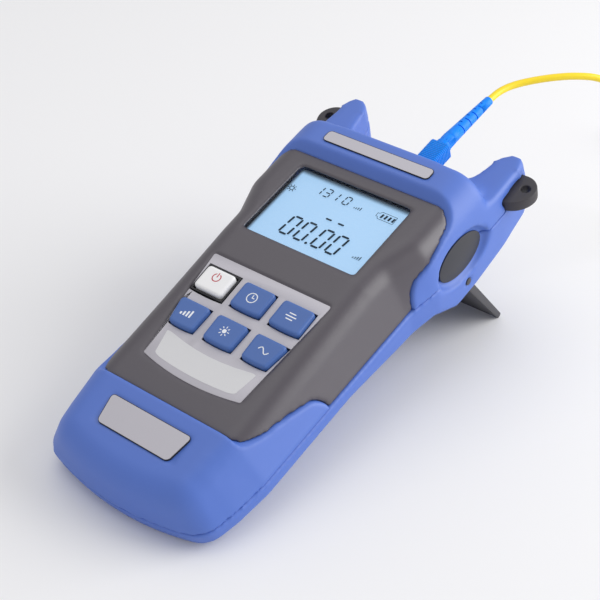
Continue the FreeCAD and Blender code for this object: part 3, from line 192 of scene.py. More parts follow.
class Finish:
    """One procedural material on the principled shader."""

    def __init__(self, name, colour, roughness, **fixed):
        self.material = bpy.data.materials.new(name)
        self.material.use_nodes = True
        self.tree = self.material.node_tree
        self.shader = self.tree.nodes["Principled BSDF"]
        self.shader.inputs["Base Color"].default_value = (*colour, 1.0)
        self.shader.inputs["Roughness"].default_value = roughness
        for key, value in fixed.items():
            self.shader.inputs[key.replace("_", " ")].default_value = value

    def node(self, kind, settings, values, result=0):
        """A node with its settings made first, then the values or links of its sockets."""
        node = self.tree.nodes.new(kind)
        for key, value in settings.items():
            setattr(node, key, value)
        for key, value in values.items():
            socket = node.inputs[key]
            if isinstance(value, Shade):
                self.tree.links.new(value.socket, socket)
            elif socket.type == "RGBA":
                socket.default_value = (*value, 1.0)
            else:
                socket.default_value = value
        return Shade(self, node.outputs[result])

    def place(self):
        """The object's own coordinates, in metres."""
        return self.node("ShaderNodeTexCoord", {}, {}, "Object")

    def along(self, direction, origin):
        """Distance from a point, measured in a direction."""
        away = self.node("ShaderNodeVectorMath", {"operation": "SUBTRACT"},
                         {0: self.place(), 1: tuple(origin)}, 0)
        return self.node("ShaderNodeVectorMath", {"operation": "DOT_PRODUCT"},
                         {0: away, 1: tuple(direction)}, "Value")

    def noise(self, scale, detail=2.0, roughness=0.5):
        return self.node("ShaderNodeTexNoise", {}, {"Vector": self.place(), "Scale": scale, "Detail": detail,
                                                    "Roughness": roughness})

    def feed(self, socket, value):
        self.tree.links.new(value.socket, self.shader.inputs[socket])
        return self

    def bump(self, height, distance, strength=1.0):
        raised = self.node("ShaderNodeBump", {},
                           {"Height": height, "Distance": distance, "Strength": strength})
        return self.feed("Normal", raised)


def tint(colour, factor):
    """The colour made lighter or darker."""
    return tuple(min(1.0, part * factor) for part in colour)


def moulded(name, colour, roughness, grain=2600.0, depth=0.00003, strength=0.35, **fixed):
    """Injection-moulded plastic: fine spark texture, slightly uneven colour and sheen."""
    finish = Finish(name, colour, roughness, **fixed)
    patches = finish.noise(38.0, 3.0)
    finish.feed("Base Color", patches.between(tint(colour, 0.96), tint(colour, 1.04)))
    finish.feed("Roughness", patches * 0.08 + (roughness - 0.04))
    finish.bump(finish.noise(grain, 3.0, 0.65), depth, strength)
    return finish.material


def film(name, colour, roughness, metal):
    """Satin printed film with fine flecks."""
    finish = Finish(name, colour, roughness, Metallic=metal)
    flecks = finish.noise(5200.0, 2.0)
    finish.feed("Base Color", flecks.between(tint(colour, 0.94), tint(colour, 1.06)))
    finish.bump(flecks, 0.00001, 0.25)
    return finish.material


def cord_finish(colour):
    """Yellow jacket with a faint sheen and fine extrusion marks."""
    finish = Finish("yellow_jacket", colour, 0.38, Coat_Weight=0.15, Coat_Roughness=0.3)
    marks = finish.noise(900.0, 3.0)
    finish.feed("Base Color", marks.between(tint(colour, 0.95), tint(colour, 1.03)))
    finish.bump(marks, 0.00003, 0.3)
    return finish.material


def display_finish(glow):
    """Lit display: pale blue, with painted shade where the window's rim would shade its upper and left edges.
    """
    finish = Finish("lit_display", tint(glow, 0.12), 0.35)
    origin = DISPLAY.to_translation()
    across = finish.along(DISPLAY.col[0].to_3d(), origin) / MM
    up = finish.along(DISPLAY.col[1].to_3d(), origin) / MM
    # Painted shade: bands along the display's upper and left edges are darkened for the shadow of the
    # window's rim.
    painted_top_shade = up.ramp(DISPLAY_HALF_HEIGHT - 1.9, DISPLAY_HALF_HEIGHT + 0.5)
    left = (0.0 - across).ramp(DISPLAY_HALF_WIDTH - 0.9, DISPLAY_HALF_WIDTH + 0.8)
    painted_rim_shade = 1.0 - (1.0 - painted_top_shade * 0.92) * (1.0 - left * 0.9)
    patches = finish.noise(60.0, 2.0)
    lit = patches.between(tint(glow, 0.985), glow)
    # The painted shade dims both the glow and the base colour.
    finish.feed("Emission Color", painted_rim_shade.between(lit, tint(glow, 0.04)))
    finish.feed("Base Color", painted_rim_shade.between(tint(glow, 0.12), tint(glow, 0.02)))
    finish.shader.inputs["Emission Strength"].default_value = 0.80
    return finish.material


def ridged_finish(colour):
    """Connector housing with fine grip ridges across it, their grooves darkened with painted shade."""
    finish = Finish("plug_blue", colour, 0.36, Specular_IOR_Level=0.25)
    way = finish.along(PLUG_AXIS.col[1].to_3d(), PLUG_AXIS.to_translation())
    ridges = (way * (2.0 * math.pi / 0.0009)).sine()
    # Painted shade: the colour is darker in the grooves between the ridges.
    painted_groove_shade = ridges.ramp(-0.9, 0.3)
    finish.feed("Base Color", painted_groove_shade.between(tint(colour, 0.72), colour))
    finish.bump(ridges, 0.00012, 0.8)
    return finish.material


def cell_finish():
    """Battery sleeve: black with a copper-coloured end."""
    finish = Finish("cell_sleeve", (0.03, 0.03, 0.035), 0.25)
    turned = STANCE.col[1].to_3d()
    end = (finish.along(turned, (STANCE @ Vector((0.0, 92.0 * MM, 0.0)))) > 0.0)
    finish.feed("Base Color", end.between((0.03, 0.03, 0.035), (0.42, 0.2, 0.06)))
    return finish.material


def make_materials():
    """All finishes by name."""
    colours = bpy.context.scene.meter_colours
    blue, plug = tuple(colours.cover), tuple(colours.plug)
    return {
        "blue": moulded("blue_cover", blue, 0.5, 2400.0, 0.00004, 0.3, Specular_IOR_Level=0.8),
        "grey": moulded("grey_panel", tuple(colours.panel), 0.42, 2200.0, 0.00005, 0.5,
                        Specular_IOR_Level=0.9),
        "dark": moulded("dark_plastic", (0.02, 0.021, 0.03), 0.45),
        "stand": moulded("stand_plastic", (0.052, 0.05, 0.056), 0.5),
        "lug": moulded("lug_rubber", (0.042, 0.038, 0.045), 0.55),
        "key_blue": moulded("key_blue", tuple(colours.key), 0.4, 3200.0, 0.00002, 0.3),
        "key_white": moulded("key_white", (0.86, 0.86, 0.87), 0.35, 3200.0, 0.00002, 0.2),
        "red": Finish("red_print", (0.55, 0.03, 0.05), 0.5).material,
        "white_print": Finish("white_print", (0.85, 0.88, 0.93), 0.5).material,
        "black_line": Finish("dark_outline", (0.02, 0.02, 0.024), 0.6).material,
        "white": moulded("white_plastic", (0.85, 0.85, 0.86), 0.3, 3000.0, 0.00001, 0.2),
        "board": moulded("solder_mask", (0.02, 0.16, 0.06), 0.35),
        "ceramic": Finish("ceramic", (0.9, 0.89, 0.86), 0.12).material,
        "plug": moulded("plug_body_blue", plug, 0.34, 3000.0, 0.00001, 0.3, Specular_IOR_Level=0.25),
        "ridged": ridged_finish(plug),
        "boot": moulded("boot_blue", tint(plug, 1.02), 0.42, 3000.0, 0.00002, 0.3, Specular_IOR_Level=0.3),
        "silver": film("silver_film", tuple(colours.film), 0.36, 0.2),
        "patch": film("light_field", tuple(colours.field), 0.42, 0.1),
        "cord": cord_finish(tuple(colours.jacket)),
        "display": display_finish(tuple(colours.glow)),
        "window": Finish("clear_window", (0.6, 0.7, 0.8), 0.05, Alpha=0.03, Specular_IOR_Level=0.3).material,
        "metal": Finish("steel", (0.62, 0.62, 0.64), 0.28, Metallic=1.0).material,
        "segment": Finish("display_segment", (0.004, 0.018, 0.035), 0.6, Specular_IOR_Level=0.1).material,
        "cell": cell_finish(),
    }


LOOK = {}


# ---------------------------------------------------------------- modelling helpers

EDGE_SEGMENTS = 3
EDGE_ANGLE = math.radians(28.0)
SMOOTH_DEGREES = 40.0
RELAX_ROUNDS = 5
# Shares of the skin's faces that stay after it is made lighter.
COVER_KEEP = 0.55
KEY_KEEP = 0.5


def only(*objects):
    """Selects these objects alone; the first is the active one."""
    bpy.ops.object.select_all(action="DESELECT")
    for item in objects:
        item.select_set(True)
    bpy.context.view_layer.objects.active = objects[0]


def apply_modifiers(piece):
    only(piece)
    for modifier in list(piece.modifiers):
        bpy.ops.object.modifier_apply(modifier=modifier.name)


def soft_shading(piece, degrees):
    only(piece)
    bpy.ops.object.shade_smooth_by_angle(angle=math.radians(degrees))


def cad_copy(node):
    """A welded copy of a CAD node's mesh, to be worked on in its place."""
    only(frame["nodes"][node])
    bpy.ops.object.duplicate()
    piece = bpy.context.active_object
    piece.name = node + "_dressed"
    piece.data.name = piece.name
    bpy.ops.object.mode_set(mode="EDIT")
    bpy.ops.mesh.select_all(action="SELECT")
    bpy.ops.mesh.remove_doubles(threshold=0.000002)
    bpy.ops.object.mode_set(mode="OBJECT")
    return piece


def merge_flats(piece, degrees=0.5):
    """Turns the flat facets back into whole faces."""
    only(piece)
    bpy.ops.object.mode_set(mode="EDIT")
    bpy.ops.mesh.select_all(action="SELECT")
    bpy.ops.mesh.dissolve_limited(angle_limit=math.radians(degrees))
    bpy.ops.object.mode_set(mode="OBJECT")


def bevelled(piece, width):
    """Merges the flat facets and rounds the sharp edges."""
    merge_flats(piece)
    bevel = piece.modifiers.new("edge_rounding", "BEVEL")
    bevel.width = width
    bevel.segments = EDGE_SEGMENTS
    bevel.limit_method = "ANGLE"
    bevel.angle_limit = EDGE_ANGLE
    apply_modifiers(piece)
    soft_shading(piece, SMOOTH_DEGREES)
    return piece


def remeshed(piece, voxel, keep):
    """Soft moulded skin: an even remesh whose edges are relaxed."""
    remesh = piece.modifiers.new("even_skin", "REMESH")
    remesh.mode = "VOXEL"
    remesh.voxel_size = voxel
    remesh.use_smooth_shade = True
    relax = piece.modifiers.new("relaxed_edges", "CORRECTIVE_SMOOTH")
    relax.iterations = RELAX_ROUNDS
    relax.smooth_type = "SIMPLE"
    relax.use_only_smooth = True
    lighter = piece.modifiers.new("lighter", "DECIMATE")
    lighter.ratio = keep
    apply_modifiers(piece)
    return piece


def finish_piece(piece, look, body, slot, *nodes):
    """Gives a piece its finish and body, and the CAD nodes it stands for."""
    if look:
        piece.data.materials.clear()
        piece.data.materials.append(LOOK[look])
    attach(piece, body)
    if nodes:
        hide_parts(*nodes)
    return piece


def joined(name, objects):
    """Several pieces made into one."""
    only(*objects)
    bpy.ops.object.join()
    piece = bpy.context.active_object
    piece.name = name
    piece.data.name = name
    return piece


def settled(piece, place):
    """Moves a piece modelled about the origin to its place, and applies that to its mesh."""
    only(piece)
    bpy.ops.object.transform_apply(location=True, rotation=True, scale=True)
    piece.matrix_world = place
    bpy.ops.object.transform_apply(location=True, rotation=True, scale=True)
    return piece


def rimmed(node, corner, line, look):
    """A nameplate with rounded corners and a thin dark line round its face."""
    piece = cad_copy(node)
    merge_flats(piece)
    face = max(piece.data.polygons, key=lambda item: item.area * max(item.normal.z, 0.0))
    normal = face.normal.copy()
    upright = [edge.index for edge in piece.data.edges
               if abs((piece.data.vertices[edge.vertices[0]].co - piece.data.vertices[edge.vertices[1]].co)
                      .normalized().dot(normal)) > 0.9]
    bpy.ops.object.mode_set(mode="EDIT")
    bpy.ops.mesh.select_mode(type="EDGE")
    bpy.ops.mesh.select_all(action="DESELECT")
    bpy.ops.object.mode_set(mode="OBJECT")
    sharp = outer_corners(piece, upright, normal)
    for index in sharp:
        piece.data.edges[index].select = True
    bpy.ops.object.mode_set(mode="EDIT")
    bpy.ops.mesh.bevel(offset=corner, segments=6, affect="EDGES")
    bpy.ops.mesh.select_mode(type="FACE")
    bpy.ops.mesh.select_all(action="DESELECT")
    bpy.ops.object.mode_set(mode="OBJECT")
    face = max(piece.data.polygons, key=lambda item: item.area * max(item.normal.dot(normal), 0.0))
    level = face.center.dot(normal)
    for item in piece.data.polygons:
        item.select = item.normal.dot(normal) > 0.99 and abs(item.center.dot(normal) - level) < 0.05 * MM
    bpy.ops.object.mode_set(mode="EDIT")
    bpy.ops.mesh.inset(thickness=line, use_boundary=True, use_even_offset=True)
    bpy.ops.object.mode_set(mode="OBJECT")
    piece.data.materials.clear()
    piece.data.materials.append(LOOK[look])
    piece.data.materials.append(LOOK["black_line"])
    for item in piece.data.polygons:
        item.material_index = 0 if item.select else 1
    return piece


def outer_corners(piece, edges, normal):
    """The upright edges at the four corners of a film's outline, away from its openings."""
    middle = sum((vertex.co for vertex in piece.data.vertices), Vector()) / len(piece.data.vertices)
    along = normal.cross(Vector((1.0, 0.0, 0.0))).normalized()
    across = along.cross(normal).normalized()
    corners = []
    for side in (-1.0, 1.0):
        for end in (-1.0, 1.0):
            def reach(index):
                edge = piece.data.edges[index]
                first, second = (piece.data.vertices[index].co for index in edge.vertices)
                away = (first + second) / 2 - middle
                return away.dot(across) * side + away.dot(along) * end
            corners.append(max(edges, key=reach))
    return corners


# ---------------------------------------------------------------- prints

# How far a figure's stroke is cut back at its corners, as a share of its thickness.
BLUNT_POINT = 0.3


def bar(start, end, thick):
    """A flat printed stroke between two points, in millimetres."""
    a, b = Vector(start), Vector(end)
    bpy.ops.mesh.primitive_plane_add(size=1.0, location=(*((a + b) / 2 * MM), 0.0),
                                     rotation=(0.0, 0.0, math.atan2(b.y - a.y, b.x - a.x)))
    piece = bpy.context.active_object
    piece.scale = ((b - a).length * MM, thick * MM, 1.0)
    return piece


def tapered_bar(start, end, thick):
    """A stroke of a display figure, its ends cut to a blunt point."""
    piece = bar(start, end, thick)
    bpy.ops.object.transform_apply(location=False, rotation=False, scale=True)
    reach = (Vector(end) - Vector(start)).length * MM / 2
    bpy.ops.object.mode_set(mode="EDIT")
    bpy.ops.mesh.select_all(action="SELECT")
    bpy.ops.mesh.subdivide(number_cuts=1)
    bpy.ops.object.mode_set(mode="OBJECT")
    for vertex in piece.data.vertices:
        if abs(vertex.co.y) > thick * MM * 0.4 and abs(vertex.co.x) > reach * 0.9:
            vertex.co.x -= math.copysign(thick * MM * BLUNT_POINT, vertex.co.x)
    return piece


def dot(x, y, radius):
    bpy.ops.mesh.primitive_circle_add(vertices=20, radius=radius * MM, fill_type="NGON",
                                      location=(x * MM, y * MM, 0.0))
    return bpy.context.active_object


def hoop(x, y, radius, thick, start=0.0, sweep=360.0, count=18):
    """A printed arc made of short strokes."""
    def at(share):
        angle = math.radians(start + sweep * share)
        return (x + radius * math.cos(angle), y + radius * math.sin(angle))
    return [bar(at(i / count), at((i + 1.12) / count), thick) for i in range(count)]


FIGURES = {"0": "abcdef", "1": "bc", "3": "abgcd", "-": "g"}


def figure(symbol, left, low, width, high, thick):
    """The strokes of one leaning seven-stroke figure."""
    slant = bpy.context.scene.meter_sizes.figure_slant
    gap = thick * 0.4
    half = high / 2

    def at(x, y):
        return (left + x + slant * y, low + y)

    ends = {
        "a": (at(gap, high), at(width - gap, high)), "d": (at(gap, 0.0), at(width - gap, 0.0)),
        "g": (at(gap, half), at(width - gap, half)), "f": (at(0.0, half + gap), at(0.0, high - gap * 0.6)),
        "b": (at(width, half + gap), at(width, high - gap * 0.6)),
        "e": (at(0.0, gap * 0.6), at(0.0, half - gap)),
        "c": (at(width, gap * 0.6), at(width, half - gap)),
    }
    return [tapered_bar(*ends[stroke], thick) for stroke in FIGURES[symbol]]


def printed(name, marks, place, lift, look, body, slot):
    """Joins printed marks and lays them on their surface."""
    piece = settled(joined(name, marks), place @ Matrix.Translation((0.0, 0.0, lift * MM)))
    return finish_piece(piece, look, body, slot)


# ---------------------------------------------------------------- covers and small parts

def make_covers():
    skin = bpy.context.scene.meter_sizes.skin
    for node, look, slot, voxel in (("bottom_cap", "blue", "blue_shell", skin),
                                    ("front_panel", "grey", "grey_panel", skin),
                                    ("top_hood", "blue", "blue_shell", skin),
                                    ("rear_shell", "blue", "blue_shell", skin * 1.15)):
        piece = cad_copy(node)
        if node == "top_hood":
            soften_saddles(piece, skin)
        else:
            remeshed(piece, voxel, COVER_KEEP)
        finish_piece(piece, look, "meter", slot, node)


def blended(value, low, high):
    """0 below low, 1 above high, smooth between."""
    share = min(1.0, max(0.0, (value - low) / (high - low)))
    return share * share * (3.0 - 2.0 * share)


def soften_saddles(piece, skin):
    """The hood, with the hollows beside its ears drawn out into soft saddles."""
    remeshed(piece, skin, 1.0)
    own = STANCE.inverted()
    group = piece.vertex_groups.new(name="saddles")
    draw_in = STANCE.to_3x3() @ Vector((0.0, -1.5 * MM, 0.0))
    for vertex in piece.data.vertices:
        x, y, z = (own @ vertex.co) / MM
        if z > 2.0 and 168.0 < y < 203.0 and abs(x) > 22.0:
            near = min(1.0, (y - 168.0) / 8.0, (203.0 - y) / 6.0, (abs(x) - 22.0) / 6.0, (z - 2.0) / 4.0)
            group.add([vertex.index], near, "REPLACE")
        if y > 199.0:
            group.add([vertex.index], min(0.4, (y - 199.0) / 4.0), "REPLACE")
        along = blended(y, 167.0, 174.0) * (1.0 - blended(y, 188.0, 203.0))
        vertex.co += draw_in * along * blended(z, 2.0, 8.0)
    smooth = piece.modifiers.new("soft_saddles", "SMOOTH")
    smooth.vertex_group = group.name
    smooth.factor = 0.5
    smooth.iterations = 60
    lighter = piece.modifiers.new("lighter", "DECIMATE")
    lighter.ratio = COVER_KEEP
    apply_modifiers(piece)
    piece.vertex_groups.clear()


SMALL_PARTS = (
    ("strap_lug_left", "lug", "soft_lug", "meter", 0.0008),
    ("strap_lug_right", "lug", "soft_lug", "meter", 0.0008),
    ("side_inlay_left", "dark", "dark_inlay", "meter", 0.0002),
    ("side_inlay_right", "dark", "dark_inlay", "meter", 0.0002),
    ("main_board", "board", "circuit_board", "meter", 0.0001),
    ("lcd_backlight", "white", "light_guide", "meter", 0.0003),
    ("tact_switches", "dark", "switch_plastic", "meter", 0.0003),
    ("case_screws", "metal", "screw_steel", "meter", 0.0002),
    ("battery_contacts", "metal", "screw_steel", "meter", 0.0001),
    ("detector_module", "metal", "detector_metal", "meter", 0.0002),
    ("optical_adapter", "white", "port_white", "meter", 0.0003),
    ("battery_cell_1", "cell", "cell_wrap", "meter", 0.0006),
    ("battery_cell_2", "cell", "cell_wrap", "meter", 0.0006),
    ("battery_cell_3", "cell", "cell_wrap", "meter", 0.0006),
    ("battery_door", "blue", "blue_shell", "door", 0.0004),
    ("kickstand", "stand", "grey_panel", "stand", 0.0006),
    ("power_key_frame", "black_line", "dark_inlay", "meter", 0.00015),
)


def make_small_parts():
    for node, look, slot, body, width in SMALL_PARTS:
        finish_piece(bevelled(cad_copy(node), width), look, body, slot, node)


def make_nameplates():
    sizes = bpy.context.scene.meter_sizes
    for node in ("top_nameplate", "bottom_nameplate"):
        plate = rimmed(node, sizes.plate_corner, sizes.film_line, "silver")
        finish_piece(plate, None, "meter", "silver_plate", node)


# ---------------------------------------------------------------- display

def make_display():
    window = bevelled(cad_copy("display_window"), 0.0001)
    finish_piece(window, "window", "meter", "clear_window", "display_window")
    glass = bevelled(cad_copy("lcd_panel"), 0.0001)
    finish_piece(glass, "display", "meter", "display_glass", "lcd_panel")
    marks = reading() + sun_mark() + battery_mark() + unit_marks()
    printed("display_figures", marks, DISPLAY, 0.05, "segment", "meter", "display_glass")


def reading():
    """A plain zero reading, a wavelength of 1310 and two dashes between."""
    marks = []
    for left in (-14.2, -7.3, 1.15, 8.0):
        marks += figure("0", left, -13.2, 4.2, 9.6, 0.98)
    marks.append(dot(-0.75, -13.1, 0.62))
    for symbol, left in (("1", -14.6), ("3", -10.6), ("1", -6.8), ("0", -1.3)):
        marks += figure(symbol, left, 10.3, 2.4, 4.2, 0.55)
    for left in (-2.4, 3.4):
        marks += figure("-", left, -2.2, 3.6, 6.4, 0.85)
    return marks


def sun_mark():
    centre = Vector((-24.0, 8.1))
    marks = hoop(centre.x, centre.y, 0.95, 0.38)
    for step in range(8):
        out = Vector((math.cos(step * math.pi / 4), math.sin(step * math.pi / 4)))
        marks.append(bar(centre + out * 1.3, centre + out * 1.95, 0.38))
    return marks


def battery_mark():
    left, right, low, high = 15.4, 23.0, 10.2, 13.9
    marks = [bar((left + 0.6, low), (right, low), 0.22), bar((left + 0.6, high), (right, high), 0.22),
             bar((right, low), (right, high), 0.22), bar((left + 0.6, low), (left, low + 1.0), 0.22),
             bar((left + 0.6, high), (left, high - 1.0), 0.22),
             bar((left, low + 1.0), (left - 0.8, low + 1.0), 0.22),
             bar((left, high - 1.0), (left - 0.8, high - 1.0), 0.22),
             bar((left - 0.8, low + 1.0), (left - 0.8, high - 1.0), 0.22)]
    for step in range(4):
        foot = left + 1.5 + 1.75 * step
        marks.append(bar((foot, low + 0.8), (foot + 0.3, high - 0.8), 0.95))
    return marks


def unit_marks():
    """Small step marks where a unit stands beside each number."""
    marks = []
    for left, low, high in ((4.6, 10.4, 1.6), (19.6, -10.9, 2.0)):
        for step in range(4):
            foot = left + 0.95 * step
            marks.append(bar((foot, low), (foot + 0.12, low + high * (0.4 + 0.2 * step)), 0.42))
    return marks


# ---------------------------------------------------------------- keypad

KEYS = {
    "power_key": (-1, 0), "timer_key": (0, 0), "reference_key": (1, 0),
    "unit_key": (-1, 1), "light_key": (0, 1), "wavelength_key": (1, 1),
}
KEY_FACE = 2.0


def make_keypad():
    sizes = bpy.context.scene.meter_sizes
    overlay = bevelled(cad_copy("keypad_overlay"), 0.1 * MM)
    finish_piece(overlay, "silver", "meter", "silver_plate", "keypad_overlay")
    finish_piece(key_field(), "patch", "meter", "silver_plate")
    for name in KEYS:
        key = remeshed(cad_copy(name), sizes.key_skin, KEY_KEEP)
        white = name == "power_key"
        finish_piece(key, "key_white" if white else "key_blue", name + "_body",
                     "white_key" if white else "blue_key", name)
        printed(name + "_symbol", key_marks(name), DECK, KEY_FACE + 0.03, "red" if white else "white_print",
                name + "_body", "white_key" if white else "blue_key")


def key_field():
    """Light field under the keys: a plane divided, bowed and given thickness."""
    top, foot, low, high = 21.6, 19.2, -47.3, -36.2
    bpy.ops.mesh.primitive_plane_add(size=1.0, location=(0.0, 0.0, 0.0))
    piece = bpy.context.active_object
    piece.name = "keypad_field"
    piece.data.name = "keypad_field"
    bpy.ops.object.mode_set(mode="EDIT")
    bpy.ops.mesh.select_all(action="SELECT")
    bpy.ops.mesh.bevel(offset=0.09, segments=6, affect="VERTICES")
    bpy.ops.mesh.select_all(action="SELECT")
    bpy.ops.mesh.subdivide(number_cuts=5)
    bpy.ops.object.mode_set(mode="OBJECT")
    for vertex in piece.data.vertices:
        share = vertex.co.y + 0.5
        half = foot + (top - foot) * share
        across = vertex.co.x * 2.0
        along = low + (high - low) * share - (2.6 * share + 1.3 * (1.0 - share)) * (1.0 - across ** 2)
        vertex.co = (across * half * MM, along * MM, 0.0)
    thick = piece.modifiers.new("thickness", "SOLIDIFY")
    thick.thickness = 0.06 * MM
    thick.offset = 1.0
    apply_modifiers(piece)
    return settled(piece, DECK)


def key_marks(name):
    """A generic symbol: power, timer, reference, steps, lamp or wave."""
    column, row = KEYS[name]
    x, y = KEY_PITCH * column, -KEY_ROWS[row]
    if name == "power_key":
        return hoop(x, y + 1.3, 1.75, 0.42, 118.0, 304.0) + [bar((x, y + 1.4), (x, y + 3.5), 0.42)]
    if name == "timer_key":
        return hoop(x, y, 2.1, 0.4) + [bar((x, y - 0.1), (x, y + 1.4), 0.38), bar((x, y), (x + 1.1, y), 0.38)]
    if name == "reference_key":
        return [bar((x - 2.4, y), (x + 2.4, y), 0.45), bar((x - 1.5, y + 1.3), (x + 1.5, y + 1.3), 0.45),
                bar((x - 1.5, y - 1.3), (x + 1.5, y - 1.3), 0.45)]
    if name == "light_key":
        marks = [dot(x, y, 0.9)]
        for step in range(8):
            out = Vector((math.cos(step * math.pi / 4), math.sin(step * math.pi / 4)))
            marks.append(bar(Vector((x, y)) + out * 1.35, Vector((x, y)) + out * 2.2, 0.36))
        return marks
    if name == "unit_key":
        return [bar((x - 2.1 + 1.4 * step, y - 1.6), (x - 2.1 + 1.4 * step, y - 0.5 + 0.7 * step), 0.8)
                for step in range(4)]
    wave = [(x - 2.4 + 0.2 * step, y + 1.1 * math.sin(2 * math.pi * step / 24)) for step in range(25)]
    return [bar(a, (b[0] + 0.05, b[1]), 0.42) for a, b in zip(wave, wave[1:])]


# ---------------------------------------------------------------- plug and cord

def make_plugs():
    for node, look, slot, width in (("plug_body", "plug", "plug_blue", 0.0002),
                                    ("plug_grip", "ridged", "plug_blue", 0.0003),
                                    ("plug_ferrule", "ceramic", "ceramic", 0.0001),
                                    ("far_plug_body", "plug", "plug_blue", 0.0002),
                                    ("far_plug_grip", "plug", "plug_blue", 0.0003),
                                    ("far_plug_ferrule", "ceramic", "ceramic", 0.0001),
                                    ("far_dust_cap", "white", "port_white", 0.0002)):
        finish_piece(bevelled(cad_copy(node), width), look, "meter", slot, node)
    near = slotted(cad_copy("cord_boot"), BOOT_AXIS)
    finish_piece(near, "boot", "meter", "boot_blue", "cord_boot")
    finish_piece(bevelled(cad_copy("far_cord_boot"), 0.0003), "boot", "meter", "boot_blue", "far_cord_boot")


SLOTS = ((-1.0, (0.32, 0.50, 0.67, 0.83)), (1.0, (0.23, 0.41, 0.58, 0.75)))


def slotted(piece, axis):
    """The bend relief with its two staggered rows of slots, each cut from one side."""
    merge_flats(piece, 0.2)
    cutters = []
    for side, shares in SLOTS:
        for share in shares:
            along = BOOT_TAPER * share
            radius = 3.2 - 1.1 * share
            bpy.ops.mesh.primitive_cube_add(size=1.0, location=(0.0, 0.0, 0.0))
            cutter = bpy.context.active_object
            cutter.scale = (2.0 * MM, 0.55 * MM, 9.0 * MM)
            cutter.location = (side * (radius * 0.35 + 1.0) * MM, along * MM, radius * 0.15 * MM)
            cutter.rotation_euler = (0.0, side * -0.5, side * 0.12)
            cutters.append(cutter)
    cutter = settled(joined("slot_cutter", cutters), axis)
    cut = piece.modifiers.new("slots", "BOOLEAN")
    cut.operation = "DIFFERENCE"
    cut.solver = "EXACT"
    cut.object = cutter
    apply_modifiers(piece)
    bpy.data.objects.remove(cutter)
    soft_shading(piece, SMOOTH_DEGREES)
    return piece


# The cord's way from the tip of the bend relief, in millimetres along the shelf's own directions; the
# last points lie on the shelf.
CORD_RADIUS = 1.5
LEAD = ((1.2, 10.2, 1.9), (3.5, 15.0, 2.6), (7.3, 20.2, 3.3), (12.7, 26.1, 4.1), (19.5, 33.4, 4.3),
        (27.5, 42.4, 2.6), (35.7, 51.9, -4.9), (43.3, 60.3, -18.4), (49.2, 66.7, -31.8), (53.6, 71.2, -46.0))
LEAD_DOWN = ((58.0, 75.2, 21.5), (64.8, 80.9, 9.8), (74.4, 87.9, 2.2), (84.5, 94.0, 0.0))
RING_RADIUS = 16.5
RING_LEAVE = math.radians(81.0)
WHOLE_TURNS = 7
# Where each turn lies: out from the ring's middle line, and its height over the shelf.
TURN_PLACES = ((0.0, 1.5), (-2.9, 1.5), (-1.45, 4.1), (-2.9, 6.7), (0.0, 6.7), (2.7, 6.7), (1.35, 4.1),
               (2.7, 1.5), (0.0, 1.5))
TAIL = ((9.0, 0.8, 0.0), (18.0, 2.6, 0.6), (27.0, 3.6, 2.15))


def turn_place(turned):
    """Offset and height of the cord after this many turns; each change of place takes a quarter turn."""
    if turned < 0.2:
        first, second, share = TURN_PLACES[0], TURN_PLACES[1], turned / 0.2
    else:
        step = int(turned)
        first, second = TURN_PLACES[step + 1], TURN_PLACES[min(step + 2, len(TURN_PLACES) - 1)]
        share = max(0.0, (turned - step - 0.75) / 0.25)
        if step >= WHOLE_TURNS:
            first, second = TURN_PLACES[-1], TURN_PLACES[-1]
            share = 0.0
    share = share * share * (3.0 - 2.0 * share)
    return [a + (b - a) * share for a, b in zip(first, second)]


def cord_route():
    """The patch cord's points in metres: out of the relief, down to the shelf, round the coil, to its end."""
    tip = (BOOT_AXIS @ Vector((0.0, BOOT_TAPER * MM, 0.0))) / MM
    out = (BOOT_AXIS.to_3x3() @ Vector((0.0, 1.0, 0.0))).normalized()
    points = [tip, tip + out * 5.0]
    points += [tip + Vector(step) for step in LEAD]
    points += [Vector((tip.x + x, tip.y + y, CORD_RADIUS + up)) for x, y, up in LEAD_DOWN]
    arrive = points[-1] - points[-2]
    heading = math.atan2(arrive.y, arrive.x)
    middle = points[-1] + Vector((-math.sin(heading), math.cos(heading), 0.0)) * RING_RADIUS
    start = heading - math.pi / 2
    turns = WHOLE_TURNS + ((RING_LEAVE - start) / (2 * math.pi)) % 1.0
    count = round(turns * bpy.context.scene.meter_sizes.coil_points)
    for step in range(1, count + 1):
        turned = turns * step / count
        angle = start + turned * 2 * math.pi
        offset, height = turn_place(turned)
        points.append(Vector((middle.x + (RING_RADIUS + offset) * math.cos(angle),
                              middle.y + (RING_RADIUS + offset) * math.sin(angle), height)))
    onward = Vector((-math.sin(RING_LEAVE), math.cos(RING_LEAVE), 0.0))
    aside = Vector((math.cos(RING_LEAVE), math.sin(RING_LEAVE), 0.0))
    start_tail = Vector((middle.x, middle.y, CORD_RADIUS)) + aside * RING_RADIUS
    points += [start_tail + onward * run + aside * side + Vector((0.0, 0.0, up)) for run, side, up in TAIL]
    return [point * MM for point in points]


def make_cord():
    """One smooth cord from the bend relief to the far connector."""
    sizes = bpy.context.scene.meter_sizes
    route = cord_route()
    curve = bpy.data.curves.new("patch_cord", "CURVE")
    curve.dimensions = "3D"
    curve.resolution_u = 6
    curve.bevel_depth = sizes.cord_diameter / 2
    curve.bevel_resolution = 5
    curve.use_fill_caps = True
    spline = curve.splines.new("NURBS")
    spline.points.add(len(route) - 1)
    for point, place in zip(spline.points, route):
        point.co = (*place, 1.0)
    spline.order_u = 3
    spline.use_endpoint_u = True
    cord = bpy.data.objects.new("patch_cord", curve)
    bpy.context.collection.objects.link(cord)
    finish_piece(cord, "cord", "meter", "cord_yellow", "cord_lead", "cord_coil", "cord_tail")


# ---------------------------------------------------------------- stage

